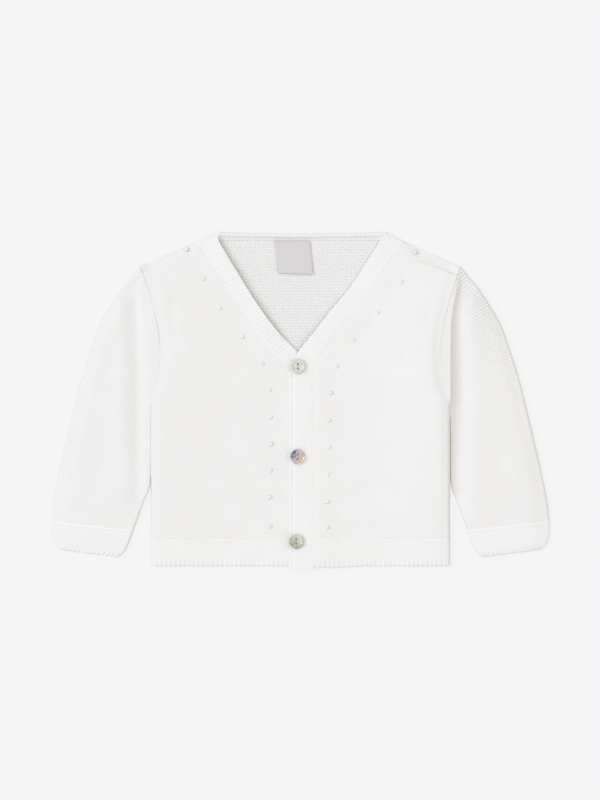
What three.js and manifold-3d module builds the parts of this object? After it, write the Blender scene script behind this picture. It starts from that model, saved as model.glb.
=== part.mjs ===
// A baby cardigan in fine white knit, buttoned at the front and laid flat on its back.
// Millimetres. +X is the wearer's left, +Y points to the neck, +Z is up off the surface it lies on.
// The origin is under the middle of the garment, on that surface.
import * as THREE from "three";
import * as BufferGeometryUtils from "three/addons/utils/BufferGeometryUtils.js";
import Module from "manifold-3d";

const wasm = await Module();
wasm.setup();

// Cloth and layers
const GAP = 0.3; // between two pieces at a seam, or one lying on another
const KNIT = 2.0; // wall of the body knit, ridges included
const SLEEVE_KNIT = 1.8; // wall of the sleeve knit
const LAYER = KNIT + GAP; // what one more layer of body knit lifts the next
const SIDE_ROLL = 4.5; // how far in from the side the front rolls over
const BACK_ROLL = 2.0; // the same, under the back
const ROLL_REACH = 9; // how far in from the side the wall's two faces are out of step
const NECK_LIFT = 1.3; // how far the free edge of the neckline stands up

// Outline of the body
const SIDE_X = 112.4; // half the width across the chest
const HEM_TOP = -104.7; // seam between the body knit and the hem
const HEM_BOTTOM = -124.2;
const HEM_CORNER = 2.2; // radius of the hem's outer corners
const HEM_RIDGE = 0.5; // how far the purl ridge along the hem's seam stands out
const HEM_SAG = 1.3; // how far the hem of the wearer's left front hangs lower beside its band
const UNDERARM_Y = 1.5;
const TIP = { x: 120, y: 101 }; // where the shoulder fold meets the sleeve
const ARM_BOW = 10.2; // how far the armhole curves in from a straight line
const FOLD = { x: 62.5, y: 126.3, fall: 0.444 }; // shoulder fold, from the neck outwards
const NECK_TOP = 127.3; // highest point, at the neckband
const BACK_NECK = 120.7; // where the back's knit ends under the neckband

// Shoulder seams: at a distance x from the middle, their height y, and how they fall outwards
const SHOULDER = {
  right: { x: 75.4, y: 113.1, fall: 0.4, outerTop: 96.2 },
  left: { x: 73.1, y: 110.8, fall: 0.393, outerTop: 93.2 },
};

// Front bands, from the hem up to the shoulder: their free edge (neck) and sewn edge (seam)
const BANDS = {
  right: [
    { neckX: 8.6, neckY: -124.6, seamX: -8.7, seamY: -124.6 },
    { neckX: 8.6, neckY: -10.0, seamX: -8.7, seamY: -10.0 },
    { neckX: 8.6, neckY: 13.0, seamX: -8.7, seamY: 12.0 },
    { neckX: 6.4, neckY: 25.0, seamX: -9.3, seamY: 19.5 },
    { neckX: -1.9, neckY: 36.6, seamX: -13.2, seamY: 28.0 },
    { neckX: -15.4, neckY: 50.1, seamX: -26.2, seamY: 41.3 },
    { neckX: -30.4, neckY: 69.6, seamX: -42.2, seamY: 63.8 },
    { neckX: -45.4, neckY: 93.2, seamX: -57.0, seamY: 86.8 },
    { neckX: -60.8, neckY: 118.8, seamX: -74.6, seamY: 113.2 },
  ],
  left: [
    { neckX: -6.4, neckY: -127.3, seamX: 10.1, seamY: -126.4 },
    { neckX: -6.4, neckY: -10.0, seamX: 10.1, seamY: -10.0 },
    { neckX: -6.4, neckY: 14.0, seamX: 10.0, seamY: 12.5 },
    { neckX: -5.2, neckY: 26.0, seamX: 10.6, seamY: 21.0 },
    { neckX: -1.9, neckY: 36.6, seamX: 14.4, seamY: 31.0 },
    { neckX: 7.1, neckY: 47.8, seamX: 20.4, seamY: 40.4 },
    { neckX: 22.1, neckY: 67.3, seamX: 34.0, seamY: 59.4 },
    { neckX: 37.1, neckY: 85.3, seamX: 50.2, seamY: 77.6 },
    { neckX: 57.6, neckY: 116.8, seamX: 72.4, seamY: 110.8 },
  ],
};
const BAND_STEP = { from: 38, to: 75 }; // heights between which the overlap's extra layer fades out
const TURN_START = 2; // height above which a band starts to turn into the V neck
const V_START = 30; // height above which a band is ribbed

// How far the front stands off the back beside the side edge, from the hem up
const PUFF = [
  { y: -128, rise: 0.6 },
  { y: -105, rise: 1.5 },
  { y: -60, rise: 2.8 },
  { y: -5, rise: 3.0 },
  { y: 45, rise: 2.3 },
  { y: 80, rise: 1.4 },
  { y: 106, rise: 0.0 },
];

// Soft folds in the fronts: middle, direction (degrees from upright), length, width, depth
const FRONT_FOLDS = [
  { x: -96, y: 62, turn: 4, length: 34, width: 5, depth: -1.0 },
  { x: -104, y: 84, turn: 10, length: 22, width: 4, depth: 0.7 },
  { x: 98, y: 66, turn: -6, length: 30, width: 6, depth: -0.8 },
  { x: 60, y: -30, turn: -38, length: 60, width: 14, depth: 0.6 },
  { x: -58, y: -62, turn: 24, length: 50, width: 12, depth: 0.5 },
];

// Sleeve and cuff, from the armhole down: fold at the outer edge, seam at the inner edge, and the
// height of the cloth, where it is puffed out and in the crease beside the body
const SLEEVE = [
  { at: 0.0, outX: 120.0, outY: 101.0, inX: 112.8, inY: 1.5, full: 5.4, crease: 5.0 },
  { at: 1.0, outX: 127.5, outY: 92.0, inX: 112.9, inY: -3.0, full: 6.4, crease: 4.4 },
  { at: 2.0, outX: 135.0, outY: 82.6, inX: 113.0, inY: -8.0, full: 7.0, crease: 4.0 },
  { at: 3.0, outX: 142.8, outY: 70.4, inX: 113.1, inY: -13.5, full: 7.2, crease: 3.9 },
  { at: 4.0, outX: 150.0, outY: 58.2, inX: 113.2, inY: -20.0, full: 7.2, crease: 3.9 },
  { at: 5.0, outX: 157.0, outY: 39.0, inX: 113.2, inY: -29.0, full: 7.2, crease: 3.9 },
  { at: 6.0, outX: 163.6, outY: 18.6, inX: 113.3, inY: -38.0, full: 7.2, crease: 3.9 },
  { at: 7.0, outX: 170.4, outY: -8.0, inX: 113.4, inY: -50.0, full: 7.0, crease: 3.9 },
  { at: 8.0, outX: 176.6, outY: -34.0, inX: 113.8, inY: -64.0, full: 6.8, crease: 4.0 },
  { at: 9.0, outX: 181.2, outY: -55.0, inX: 117.0, inY: -75.0, full: 6.4, crease: 4.4 },
  { at: 10.0, outX: 185.2, outY: -75.0, inX: 121.0, inY: -86.5, full: 5.8, crease: 4.8 },
  { at: 11.0, outX: 187.1, outY: -90.5, inX: 124.9, inY: -97.0, full: 5.2, crease: 5.0 },
];
const CUFF = [
  { at: 0.0, outX: 187.1, outY: -90.9, inX: 125.0, inY: -97.4, full: 5.2, crease: 5.0 },
  { at: 1.0, outX: 187.1, outY: -99.5, inX: 128.2, inY: -106.0, full: 5.0, crease: 4.8 },
  { at: 2.0, outX: 184.9, outY: -107.6, inX: 131.6, inY: -112.8, full: 4.7, crease: 4.5 },
  { at: 3.0, outX: 181.4, outY: -111.9, inX: 136.2, inY: -117.5, full: 4.2, crease: 4.1 },
];
const CREASE = { near: 7, far: 24 }; // the crease's far side, measured in from the sleeve's seam
const SLEEVE_ROLL = { outer: 4.5, inner: 2.4, under: 1.9, seam: 1.95 };

// Raised rows
const KNOT = { width: 3.8, height: 1.2 }; // the small raised knots beside the bands
const KNOTS = {
  right: [
    { x: -85.5, y: 113.8 },
    { x: -73.1, y: 91.3 },
    { x: -60.5, y: 69.3 },
    { x: -43.9, y: 47.8 },
    { x: -28.7, y: 27.9 },
    { x: -23.3, y: 8.1 },
    { x: -22.5, y: -12.2 },
    { x: -22.1, y: -32.4 },
    { x: -22.5, y: -52.2 },
    { x: -23.1, y: -72.3 },
    { x: -22.9, y: -94.3 },
  ],
  left: [
    { x: 85.8, y: 111.5 },
    { x: 75.5, y: 89.3 },
    { x: 58.0, y: 66.2 },
    { x: 39.7, y: 45.6 },
    { x: 27.0, y: 25.9 },
    { x: 22.5, y: 6.0 },
    { x: 21.3, y: -14.4 },
    { x: 21.3, y: -34.7 },
    { x: 20.6, y: -54.9 },
    { x: 20.3, y: -75.5 },
    { x: 20.0, y: -95.0 },
  ],
};
const NECK_RIB = { pitch: 3.2, height: 0.55 }; // ribs of the V neck and the back neckband
const EDGE_RIB = { pitch: 3.5, height: 0.6, reach: 5.5, ease: 1.5 }; // short ribs at the hem and cuffs
const NECK_ROLL = { depth: 5.3, height: 4.6, halfLength: 61.6 }; // back neckband, doubled

// Buttons and label
const BUTTON = { radius: 6, thick: 2.3, hole: 0.8, holeApart: 3.2 };
const BUTTONS = [
  { name: "button_1", x: -1.9, y: 25.3 },
  { name: "button_2", x: -1.5, y: -42.6 },
  { name: "button_3", x: -3.2, y: -105.6 },
];
const LABEL = { thick: 1.0, topY: 119.6, bottomY: 95.6, topX: -19.6, bottomX: -16.8, width: 26.6 };

// Colours of the finishes
const KNIT_LOOK = { color: 0xf1efee, roughness: 0.95, metalness: 0 };
const SHELL_LOOK = { color: 0x8f8d84, roughness: 0.25, metalness: 0 };
const LABEL_LOOK = { color: 0xd8d5dc, roughness: 0.5, metalness: 0 };

const mix = (a, b, t) => a + (b - a) * t;
const clamp01 = (t) => Math.min(1, Math.max(0, t));

/** 0 below from, 1 above to, with soft ends. */
function smooth(from, to, value) {
  const t = clamp01((value - from) / (to - from));
  return t * t * (3 - 2 * t);
}

/** A quarter of an ellipse: 0 at the edge, level once t reaches 1. */
function rolled(t) {
  const left = 1 - clamp01(t);
  return Math.sqrt(1 - left * left);
}

/** n + 1 steps from 0 to 1, closer together towards the ends. */
function endSteps(n) {
  return Array.from({ length: n + 1 }, (_, i) => 0.5 - 0.5 * Math.cos((Math.PI * i) / n));
}

/** n + 1 even steps from 0 to 1. */
function evenSteps(n) {
  return Array.from({ length: n + 1 }, (_, i) => i / n);
}

/** A table's row at a value of one column, on a smooth curve through the rows. */
function rowAt(table, column, value) {
  let i = 0;
  while (i < table.length - 2 && value > table[i + 1][column]) i += 1;
  const rows = [table[Math.max(i - 1, 0)], table[i], table[i + 1], table[Math.min(i + 2, table.length - 1)]];
  const t = clamp01((value - rows[1][column]) / (rows[2][column] - rows[1][column]));
  const found = {};
  for (const key of Object.keys(rows[1])) {
    const [a, b, c, d] = rows.map((row) => row[key]);
    const [p, q, r, s] = rows.map((row) => row[column]);
    const span = r - q;
    const startSlope = (((c - a) / (r - p)) * span) || 0;
    const endSlope = (((d - b) / (s - q)) * span) || 0;
    found[key] =
      (2 * t ** 3 - 3 * t ** 2 + 1) * b +
      (t ** 3 - 2 * t ** 2 + t) * startSlope +
      (3 * t ** 2 - 2 * t ** 3) * c +
      (t ** 3 - t ** 2) * endSlope;
  }
  return found;
}

/** Half the body's width at a height: the side, or the armhole above the underarm. */
function edgeX(y) {
  const s = (y - UNDERARM_Y) / (TIP.y - UNDERARM_Y);
  if (s <= 0) return SIDE_X - hemCorner(y);
  const chord = mix(SIDE_X, TIP.x, Math.min(s, 1));
  return chord - ARM_BOW * Math.sin(Math.PI * Math.min(s, 1) ** 0.8);
}

/** How far the hem's rounded corner pulls the side in. */
function hemCorner(y) {
  const above = clamp01((y - HEM_BOTTOM) / HEM_CORNER);
  return HEM_CORNER * (1 - rolled(above));
}

const foldY = (x) => FOLD.y - FOLD.fall * (Math.abs(x) - FOLD.x);
const shoulderSeamY = (side, x) => SHOULDER[side].y - SHOULDER[side].fall * (Math.abs(x) - SHOULDER[side].x);
const seamX = (side, y) => rowAt(BANDS[side], "seamY", y).seamX;
const sign = (side) => (side === "left" ? 1 : -1);
const FOLD_LENGTH = Math.hypot(1, FOLD.fall); // length along the shoulder fold for 1 mm outwards

/** How far the back comes forward over the shoulder, square to the fold. */
function foldDepth(side, x) {
  return (foldY(x) - shoulderSeamY(side, x)) / FOLD_LENGTH;
}

/** Where the shoulder's fold starts, beside the end of the neckband. */
function foldStart(side) {
  const seam = Math.abs(BANDS[side].at(-1).seamX) + 0.4;
  return seam + (foldDepth(side, seam + 3) * FOLD.fall) / FOLD_LENGTH;
}

/** What the buttonhole band's extra layer adds at a height, on the wearer's left. */
function overlap(side, y) {
  return side === "left" ? LAYER * (1 - smooth(BAND_STEP.from, BAND_STEP.to, y)) : 0;
}

/** Height that the folds of a table add at a point. */
function folds(table, x, y) {
  let total = 0;
  for (const fold of table) {
    const turn = THREE.MathUtils.degToRad(fold.turn);
    const [dx, dy] = [x - fold.x, y - fold.y];
    const across = dx * Math.cos(turn) + dy * Math.sin(turn);
    const along = dy * Math.cos(turn) - dx * Math.sin(turn);
    total += fold.depth * Math.exp(-((across / fold.width) ** 2) - (along / (fold.length / 2)) ** 2);
  }
  return total;
}

/** How far the front's cloth stands above its lowest place at a point. */
function frontRise(side, x, y) {
  const fromEdge = Math.max(0, edgeX(y) - Math.abs(x));
  const fromBand = Math.max(0, Math.abs(x) - Math.abs(seamX(side, y)));
  const puff = rowAt(PUFF, "y", y).rise * mix(1, 0.25, smooth(10, 60, fromEdge));
  const nearBand = smooth(0, 26, fromBand);
  const fold = folds(FRONT_FOLDS, x, y) * nearBand * (1 - smooth(70, 100, y));
  return Math.max(0, puff * nearBand + fold) + overlap(side, y) * (1 - smooth(2, 24, fromBand));
}

const frontTop = (side, x, y) => LAYER + KNIT + frontRise(side, x, y);

/** 1 where the front rolls over the body's side, 0 along the armhole. */
const rollsOver = (y) => 1 - smooth(-4, 9, y);

/** How far in from the edge a wall's inner point lies, where its outer point lies fromEdge in. */
function innerDistance(fromEdge, roll) {
  return fromEdge + KNIT * roll * (1 - clamp01(fromEdge / ROLL_REACH));
}

/** The front's outer and inner point at a place, distance in from the edge included. */
function frontPair(side, x, y) {
  const edge = edgeX(y);
  const roll = rollsOver(y);
  const fromEdge = Math.max(0, edge - Math.abs(x));
  const rise = frontRise(side, x, y);
  const outerZ = LAYER + (KNIT + rise) * mix(1, rolled(fromEdge / SIDE_ROLL), roll);
  const inner = innerDistance(fromEdge, roll);
  const innerZ = LAYER + rise * mix(1, rolled((inner - KNIT) / (SIDE_ROLL - KNIT)), roll);
  return [[x, y, outerZ], [Math.sign(x) * (edge - inner), y, innerZ]];
}

/** The closed solid between two grids of points with the same rows; ring joins each row's ends. */
function wall(outer, inner, ring = false) {
  const rows = outer.length;
  const columns = outer[0].length;
  const positions = [...outer.flat(), ...inner.flat()].flat();
  const index = [];
  const quad = (a, b, c, d) => index.push(a, b, c, a, c, d);
  const out = (r, c) => r * columns + (c % columns);
  const inn = (r, c) => rows * columns + out(r, c);
  const across = ring ? columns : columns - 1;
  for (let r = 0; r < rows - 1; r += 1) {
    for (let c = 0; c < across; c += 1) {
      quad(out(r, c), out(r, c + 1), out(r + 1, c + 1), out(r + 1, c));
      quad(inn(r, c), inn(r + 1, c), inn(r + 1, c + 1), inn(r, c + 1));
    }
    if (!ring) {
      quad(out(r, 0), out(r + 1, 0), inn(r + 1, 0), inn(r, 0));
      quad(out(r + 1, across), out(r, across), inn(r, across), inn(r + 1, across));
    }
  }
  for (let c = 0; c < across; c += 1) {
    quad(out(0, c + 1), out(0, c), inn(0, c), inn(0, c + 1));
    quad(out(rows - 1, c), out(rows - 1, c + 1), inn(rows - 1, c + 1), inn(rows - 1, c));
  }
  return facingOut(positions, index);
}

/** The same, from a grid that holds an outer and an inner point at each place. */
function wallOf(pairs) {
  const [outer, inner] = [0, 1].map((k) => pairs.map((row) => row.map((pair) => pair[k])));
  return wall(outer, inner);
}

/** Turns the faces outwards where they point in. */
function facingOut(positions, index) {
  let volume = 0;
  for (let i = 0; i < index.length; i += 3) {
    const [a, b, c] = [0, 1, 2].map((k) => new THREE.Vector3().fromArray(positions, 3 * index[i + k]));
    volume += a.dot(b.cross(c));
  }
  if (volume < 0) {
    for (let i = 0; i < index.length; i += 3) [index[i], index[i + 1]] = [index[i + 1], index[i]];
  }
  const geometry = new THREE.BufferGeometry();
  geometry.setAttribute("position", new THREE.Float32BufferAttribute(positions, 3));
  geometry.setIndex(index);
  return geometry;
}

/** A solid with a closed section carried through rows, its ends closed by the flat section. */
function bar(sections, flatSection) {
  const count = sections[0].length;
  const positions = sections.flat(2);
  const index = [];
  for (let r = 0; r < sections.length - 1; r += 1) {
    for (let c = 0; c < count; c += 1) {
      const [a, b] = [r * count + c, r * count + ((c + 1) % count)];
      index.push(a, b, b + count, a, b + count, a + count);
    }
  }
  const end = (sections.length - 1) * count;
  const outline = flatSection.map(([a, b]) => new THREE.Vector2(a, b));
  for (const [a, b, c] of THREE.ShapeUtils.triangulateShape(outline, [])) {
    index.push(a, c, b, end + a, end + b, end + c);
  }
  return facingOut(positions, index);
}

function toManifold(geometry) {
  const bare = geometry.clone();
  bare.deleteAttribute("normal");
  bare.deleteAttribute("uv");
  const merged = BufferGeometryUtils.mergeVertices(bare, 1e-4);
  return new wasm.Manifold(
    new wasm.Mesh({
      numProp: 3,
      vertProperties: new Float32Array(merged.getAttribute("position").array),
      triVerts: new Uint32Array(merged.getIndex().array),
    })
  );
}

function toGeometry(solid) {
  const mesh = solid.getMesh();
  const geometry = new THREE.BufferGeometry();
  geometry.setAttribute("position", new THREE.BufferAttribute(new Float32Array(mesh.vertProperties), 3));
  geometry.setIndex(new THREE.BufferAttribute(new Uint32Array(mesh.triVerts), 1));
  return geometry;
}

function joined(first, ...others) {
  return toGeometry(others.reduce((sum, one) => sum.add(toManifold(one)), toManifold(first)));
}

/** One raised knot, sunk a little into the cloth under it. */
function knot(x, y, top) {
  const ball = new THREE.SphereGeometry(1, 8, 6);
  const sunk = 0.3;
  ball.rotateX(Math.PI / 2);
  ball.scale(KNOT.width / 2, KNOT.width / 2, KNOT.height + sunk);
  ball.translate(x, y, top - sunk);
  return ball;
}

/** A front panel between its band and the side or armhole, with its knots. */
function front(side) {
  const s = sign(side);
  const { outerTop } = SHOULDER[side];
  const bottom = HEM_TOP + GAP;
  const bandTop = BANDS[side].at(-1).seamY - 0.5;
  const across = [0, 0.05, 0.12, 0.22, 0.36, 0.52, 0.68, 0.8, 0.88, 0.93, 0.965, 0.985, 1];
  const below = evenSteps(6).slice(0, -1).map((t) => 0.5 * t);
  const turn = evenSteps(8).slice(0, -1).map((t) => mix(0.5, 0.68, t));
  const above = evenSteps(6).map((t) => mix(0.68, 1, t));
  const up = [...below, ...turn, ...above];
  const pairs = up.map((v) => {
    const [innerY, outerY] = [mix(bottom, bandTop, v), mix(bottom, outerTop, v)];
    const start = seamX(side, innerY) + s * GAP;
    const end = s * (edgeX(outerY) - GAP);
    return across.map((u) => {
      const x = mix(start, end, u);
      const top = shoulderSeamY(side, x) - GAP;
      return frontPair(side, x, Math.min(mix(innerY, outerY, u), top));
    });
  });
  const knots = KNOTS[side].slice(1).map(({ x, y }) => knot(x, y, frontTop(side, x, y)));
  return joined(wallOf(pairs), ...knots);
}

/** The front part of the hem: a smooth band with short ribs along its lower edge. */
function hemFront(side) {
  const s = sign(side);
  const ribTop = HEM_BOTTOM + EDGE_RIB.reach;
  const rows = [HEM_TOP, ribTop, ribTop - EDGE_RIB.ease, HEM_BOTTOM];
  const innerEnd = Math.abs(seamX(side, HEM_TOP)) + GAP;
  const ribs = Math.round((SIDE_X - innerEnd) / EDGE_RIB.pitch);
  const pairs = rows.map((y, row) =>
    evenSteps(2 * ribs).map((u, column) => {
      const drop = side === "left" && row > 0 ? HEM_SAG * (1 - smooth(10, 50, u * SIDE_X)) : 0;
      const x = s * mix(innerEnd, edgeX(y), u);
      const pair = frontPair(side, x, y);
      const raised = row > 1 ? EDGE_RIB.height * (column % 2) : 0;
      const ridge = row === 0 ? HEM_RIDGE : 0;
      pair[0][2] += (raised + ridge) * (1 - smooth(0.96, 1, u));
      for (const point of pair) point[1] -= drop;
      return pair;
    })
  );
  return wallOf(pairs);
}

/** The back's underside and inside at a place; its side rolls up to meet the front. */
function backPair(x, y) {
  const edge = edgeX(y);
  const roll = rollsOver(y);
  const fromEdge = Math.max(0, edge - Math.abs(x));
  const underZ = KNIT * roll * (1 - rolled(fromEdge / BACK_ROLL));
  const insideX = Math.max(0, edge - innerDistance(fromEdge, roll));
  return [[x, y, underZ], [Math.sign(x) * insideX, y, KNIT]];
}

/** The back's shoulder, folded over to the front as far as the shoulder seam. */
function shoulderFold(side) {
  const s = sign(side);
  const mid = LAYER / 2 + KNIT / 2;
  const inside = GAP / 2;
  const rootDepth = 5;
  const arc = [-60, -30, 0, 30, 60].map((turn) => THREE.MathUtils.degToRad(turn));
  const sections = evenSteps(6).map((t) => {
    const x = mix(foldStart(side) + GAP, TIP.x - 0.4, t);
    const depth = foldDepth(side, x);
    const flat = [
      [rootDepth, 0],
      [mid, 0],
      ...arc.map((turn) => [mid - mid * Math.cos(turn), mid + mid * Math.sin(turn)]),
      [mid, 2 * mid],
      [depth, 2 * mid],
      [depth, LAYER],
      [mid, LAYER],
      [mid - inside, mid],
      [mid, KNIT],
      [rootDepth, KNIT],
    ];
    return flat.map(([depthIn, z]) => {
      const px = x - (depthIn * FOLD.fall) / FOLD_LENGTH;
      const py = foldY(x) - depthIn / FOLD_LENGTH;
      return [s * Math.min(px, edgeX(py) - GAP), py, z];
    });
  });
  const flat = sections[0].map(([, y, z]) => [y, z]);
  return bar(sections, flat);
}

function back() {
  const across = endSteps(16).map((u) => mix(-1, 1, u));
  const straight = evenSteps(4).slice(0, -1).map((t) => 0.45 * t);
  const armhole = evenSteps(10).map((t) => mix(0.45, 1, t));
  const foldInset = 2.0; // the flat part stops short of the shoulder fold, which is joined on
  const pairs = [...straight, ...armhole].map((v) =>
    across.map((u) => {
      const top = Math.min(BACK_NECK, foldY(u * TIP.x) - foldInset);
      const y = mix(HEM_TOP + GAP, top, v);
      return backPair(u * (edgeX(y) - GAP * (1 - rollsOver(y))), y);
    })
  );
  const knots = ["right", "left"].map((side) => {
    const { x, y } = KNOTS[side][0];
    return knot(x, y, LAYER + KNIT);
  });
  return joined(wallOf(pairs), shoulderFold("right"), shoulderFold("left"), ...knots);
}

function hemBack() {
  const across = endSteps(12).map((u) => mix(-1, 1, u));
  const rows = [HEM_TOP, HEM_BOTTOM + HEM_CORNER, HEM_BOTTOM];
  const pairs = rows.map((y) => across.map((u) => backPair(u * edgeX(y), y)));
  return wallOf(pairs);
}

/** A place on the sleeve: share across from its seam, and how far down its table. */
function sleevePlace(table, share, at) {
  const row = rowAt(table, "at", at);
  const bow = table === SLEEVE ? ARM_BOW * (1 - smooth(0, 4, at)) * Math.sin(Math.PI * share ** 0.8) : 0;
  const clear = table === SLEEVE ? GAP * mix(1, 0.5, smooth(0, 0.4, at)) : 0;
  const width = Math.hypot(row.outX - row.inX, row.outY - row.inY);
  const x = mix(row.inX, row.outX, share) - bow + clear;
  return { x, y: mix(row.inY, row.outY, share), width, row };
}

/** Height of the sleeve's upper face. */
function sleeveTop(side, table, share, at) {
  const { x, y, width, row } = sleevePlace(table, share, at);
  const fromSeam = share * width;
  const fromFold = (1 - share) * width;
  const height = mix(row.crease, row.full, smooth(CREASE.near, CREASE.far, fromSeam));
  const edge = Math.min(rolled(fromSeam / SLEEVE_ROLL.inner), rolled(fromFold / SLEEVE_ROLL.outer));
  const free = SLEEVE_ROLL.seam + (height - SLEEVE_ROLL.seam) * edge;
  const sewn = SLEEVE_ROLL.seam + (frontTop(side, sign(side) * x, y) - SLEEVE_ROLL.seam) * edge;
  const pull = table === SLEEVE ? smooth(0, 2.2, at) : 1;
  return mix(sewn, free, pull);
}

/** One ring round the sleeve: over the top from its seam to its fold, and back underneath. */
function sleeveRing(side, table, at, overSteps, underSteps, inset) {
  const s = sign(side);
  const { width } = sleevePlace(table, 0, at);
  const over = overSteps.map((u) => ({ u, top: true }));
  const under = underSteps.slice(1, -1).reverse().map((u) => ({ u, top: false }));
  return [...over, ...under].map(({ u, top }) => {
    const share = mix(inset / width, 1 - inset / width, u);
    const { x, y } = sleevePlace(table, share, at);
    const edge = Math.min(share, 1 - share) * width;
    const wallHere = inset > 0 ? SLEEVE_KNIT : 0;
    const upper = sleeveTop(side, table, share, at);
    const lower = SLEEVE_ROLL.seam * (1 - rolled(edge / SLEEVE_ROLL.under));
    const atEnd = u === 0 || u === 1;
    if (atEnd) return [s * x, y, SLEEVE_ROLL.seam];
    return [s * x, y, top ? upper - wallHere : lower + wallHere];
  });
}

function sleeve(side) {
  const around = [0, 0.015, 0.04, 0.08, 0.16, 0.26, 0.4, 0.6, 0.8, 0.93, 0.98, 1];
  const below = [0, 0.03, 0.3, 0.7, 0.97, 1];
  const down = [0.01, 0.35, 0.8, 1.3, 2, 2.8, 3.6, 4.5, 5.5, 6.5, 7.5, 8.2, 9, 9.8, 10.5, 11];
  const [outer, inner] = [0, SLEEVE_KNIT].map((inset) =>
    down.map((at) => sleeveRing(side, SLEEVE, at, around, below, inset))
  );
  return wall(outer, inner, true);
}

function cuff(side) {
  const { width } = sleevePlace(CUFF, 0, 0);
  const ribs = Math.round(width / EDGE_RIB.pitch);
  const around = evenSteps(2 * ribs);
  const below = endSteps(8);
  const down = [0, 1.6, 2, 3];
  const [outer, inner] = [0, SLEEVE_KNIT].map((inset) =>
    down.map((at) => sleeveRing(side, CUFF, at, around, below, inset))
  );
  outer.forEach((ring, row) =>
    ring.forEach((point, column) => {
      if (column > 0 && column < 2 * ribs && row > 1) point[2] += EDGE_RIB.height * (column % 2);
    })
  );
  return wall(outer, inner, true);
}

/** Rows along a band, from the hem to the shoulder: even below the V neck, two to a rib above it. */
function bandStations(side) {
  const table = BANDS[side];
  const length = (a, b) => Math.hypot(b.neckX - a.neckX, b.neckY - a.neckY);
  const start = rowAt(table, "neckY", V_START);
  const end = table.at(-1);
  const ribs = Math.round(length(start, end) / NECK_RIB.pitch);
  const straight = evenSteps(4).slice(0, -1).map((t) => mix(table[0].neckY, TURN_START, t));
  const turn = evenSteps(7).slice(0, -1).map((t) => mix(TURN_START, V_START, t));
  const below = [...straight, ...turn];
  const above = evenSteps(2 * ribs).map((t) => mix(V_START, end.neckY, t));
  return [...below.map((y) => ({ y, rib: 0 })), ...above.map((y, i) => ({ y, rib: i % 2 }))];
}

/** A front band: flat down the placket, ribbed and a little lifted along the V neck. */
function band(side) {
  const smoothEdge = 0.16; // share of the width that is a plain rolled edge
  const pairs = bandStations(side).map(({ y, rib }) => {
    const row = rowAt(BANDS[side], "neckY", y);
    const base = LAYER + overlap(side, row.seamY);
    const lift = NECK_LIFT * smooth(42, 66, row.neckY);
    return [0, smoothEdge, 1].map((u) => {
      const place = [mix(row.neckX, row.seamX, u), mix(row.neckY, row.seamY, u)];
      const low = base + lift * (1 - u);
      const raised = u > 0 ? NECK_RIB.height * rib * smooth(34, 44, y) : -0.5;
      return [[...place, low + KNIT + raised], [...place, low]];
    });
  });
  return wallOf(pairs);
}

/** The end of the back neckband, which comes over the shoulder to meet the front band. */
function neckbandEnd(side) {
  const s = sign(side);
  const top = BANDS[side].at(-1);
  const seamLow = { x: Math.abs(top.seamX), y: top.seamY + 2 * GAP };
  const neckLow = { x: Math.abs(top.neckX), y: top.neckY + 2 * GAP };
  const seamHigh = { x: foldStart(side) - GAP, y: foldY(foldStart(side)) };
  const neckHigh = { x: NECK_ROLL.halfLength + 1.2, y: side === "left" ? NECK_TOP : NECK_TOP - 1.2 };
  const profile = [
    { v: 0, top: 2 * KNIT + GAP },
    { v: 0.72, top: 2 * KNIT + GAP + 0.2 },
    { v: 0.93, top: 2 * KNIT - 0.3 },
    { v: 1, top: LAYER + 0.7 },
  ];
  const pairs = profile.map((step) =>
    evenSteps(4).map((u) => {
      const low = { x: mix(neckLow.x, seamLow.x, u), y: mix(neckLow.y, seamLow.y, u) };
      const high = { x: mix(neckHigh.x, seamHigh.x, u), y: mix(neckHigh.y, seamHigh.y, u) };
      const place = [s * mix(low.x, high.x, step.v), mix(low.y, high.y, step.v)];
      const lift = NECK_LIFT * (1 - u) * (1 - step.v);
      return [[...place, step.top + lift], [...place, LAYER + lift * 0.9]];
    })
  );
  return wallOf(pairs);
}

/** The back neckband: a doubled, ribbed strip along the back of the neck. */
function neckband() {
  const { depth, height, halfLength } = NECK_ROLL;
  const ribs = Math.round((2 * halfLength) / NECK_RIB.pitch);
  const half = height / 2;
  const flat = [
    [0, 0],
    [depth - 1.2, 0],
    [depth, half],
    [depth - 1.2, height],
    [0, height],
    [0, half + GAP / 2],
    [depth - 2.2, half],
    [0, half - GAP / 2],
  ];
  const sections = evenSteps(2 * ribs).map((t, i) => {
    const x = mix(-halfLength, halfLength, t);
    const dip = 1.4 * Math.sin(Math.PI * t) ** 0.5;
    const raised = NECK_RIB.height * (i % 2);
    return flat.map(([y, z], k) => [
      x,
      BACK_NECK + GAP + y + (k === 2 ? raised : 0) - (y > 1 ? dip - 0.6 : 0),
      z + (k === 3 || k === 4 ? raised : 0),
    ]);
  });
  return joined(bar(sections, flat), neckbandEnd("right"), neckbandEnd("left"));
}

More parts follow.
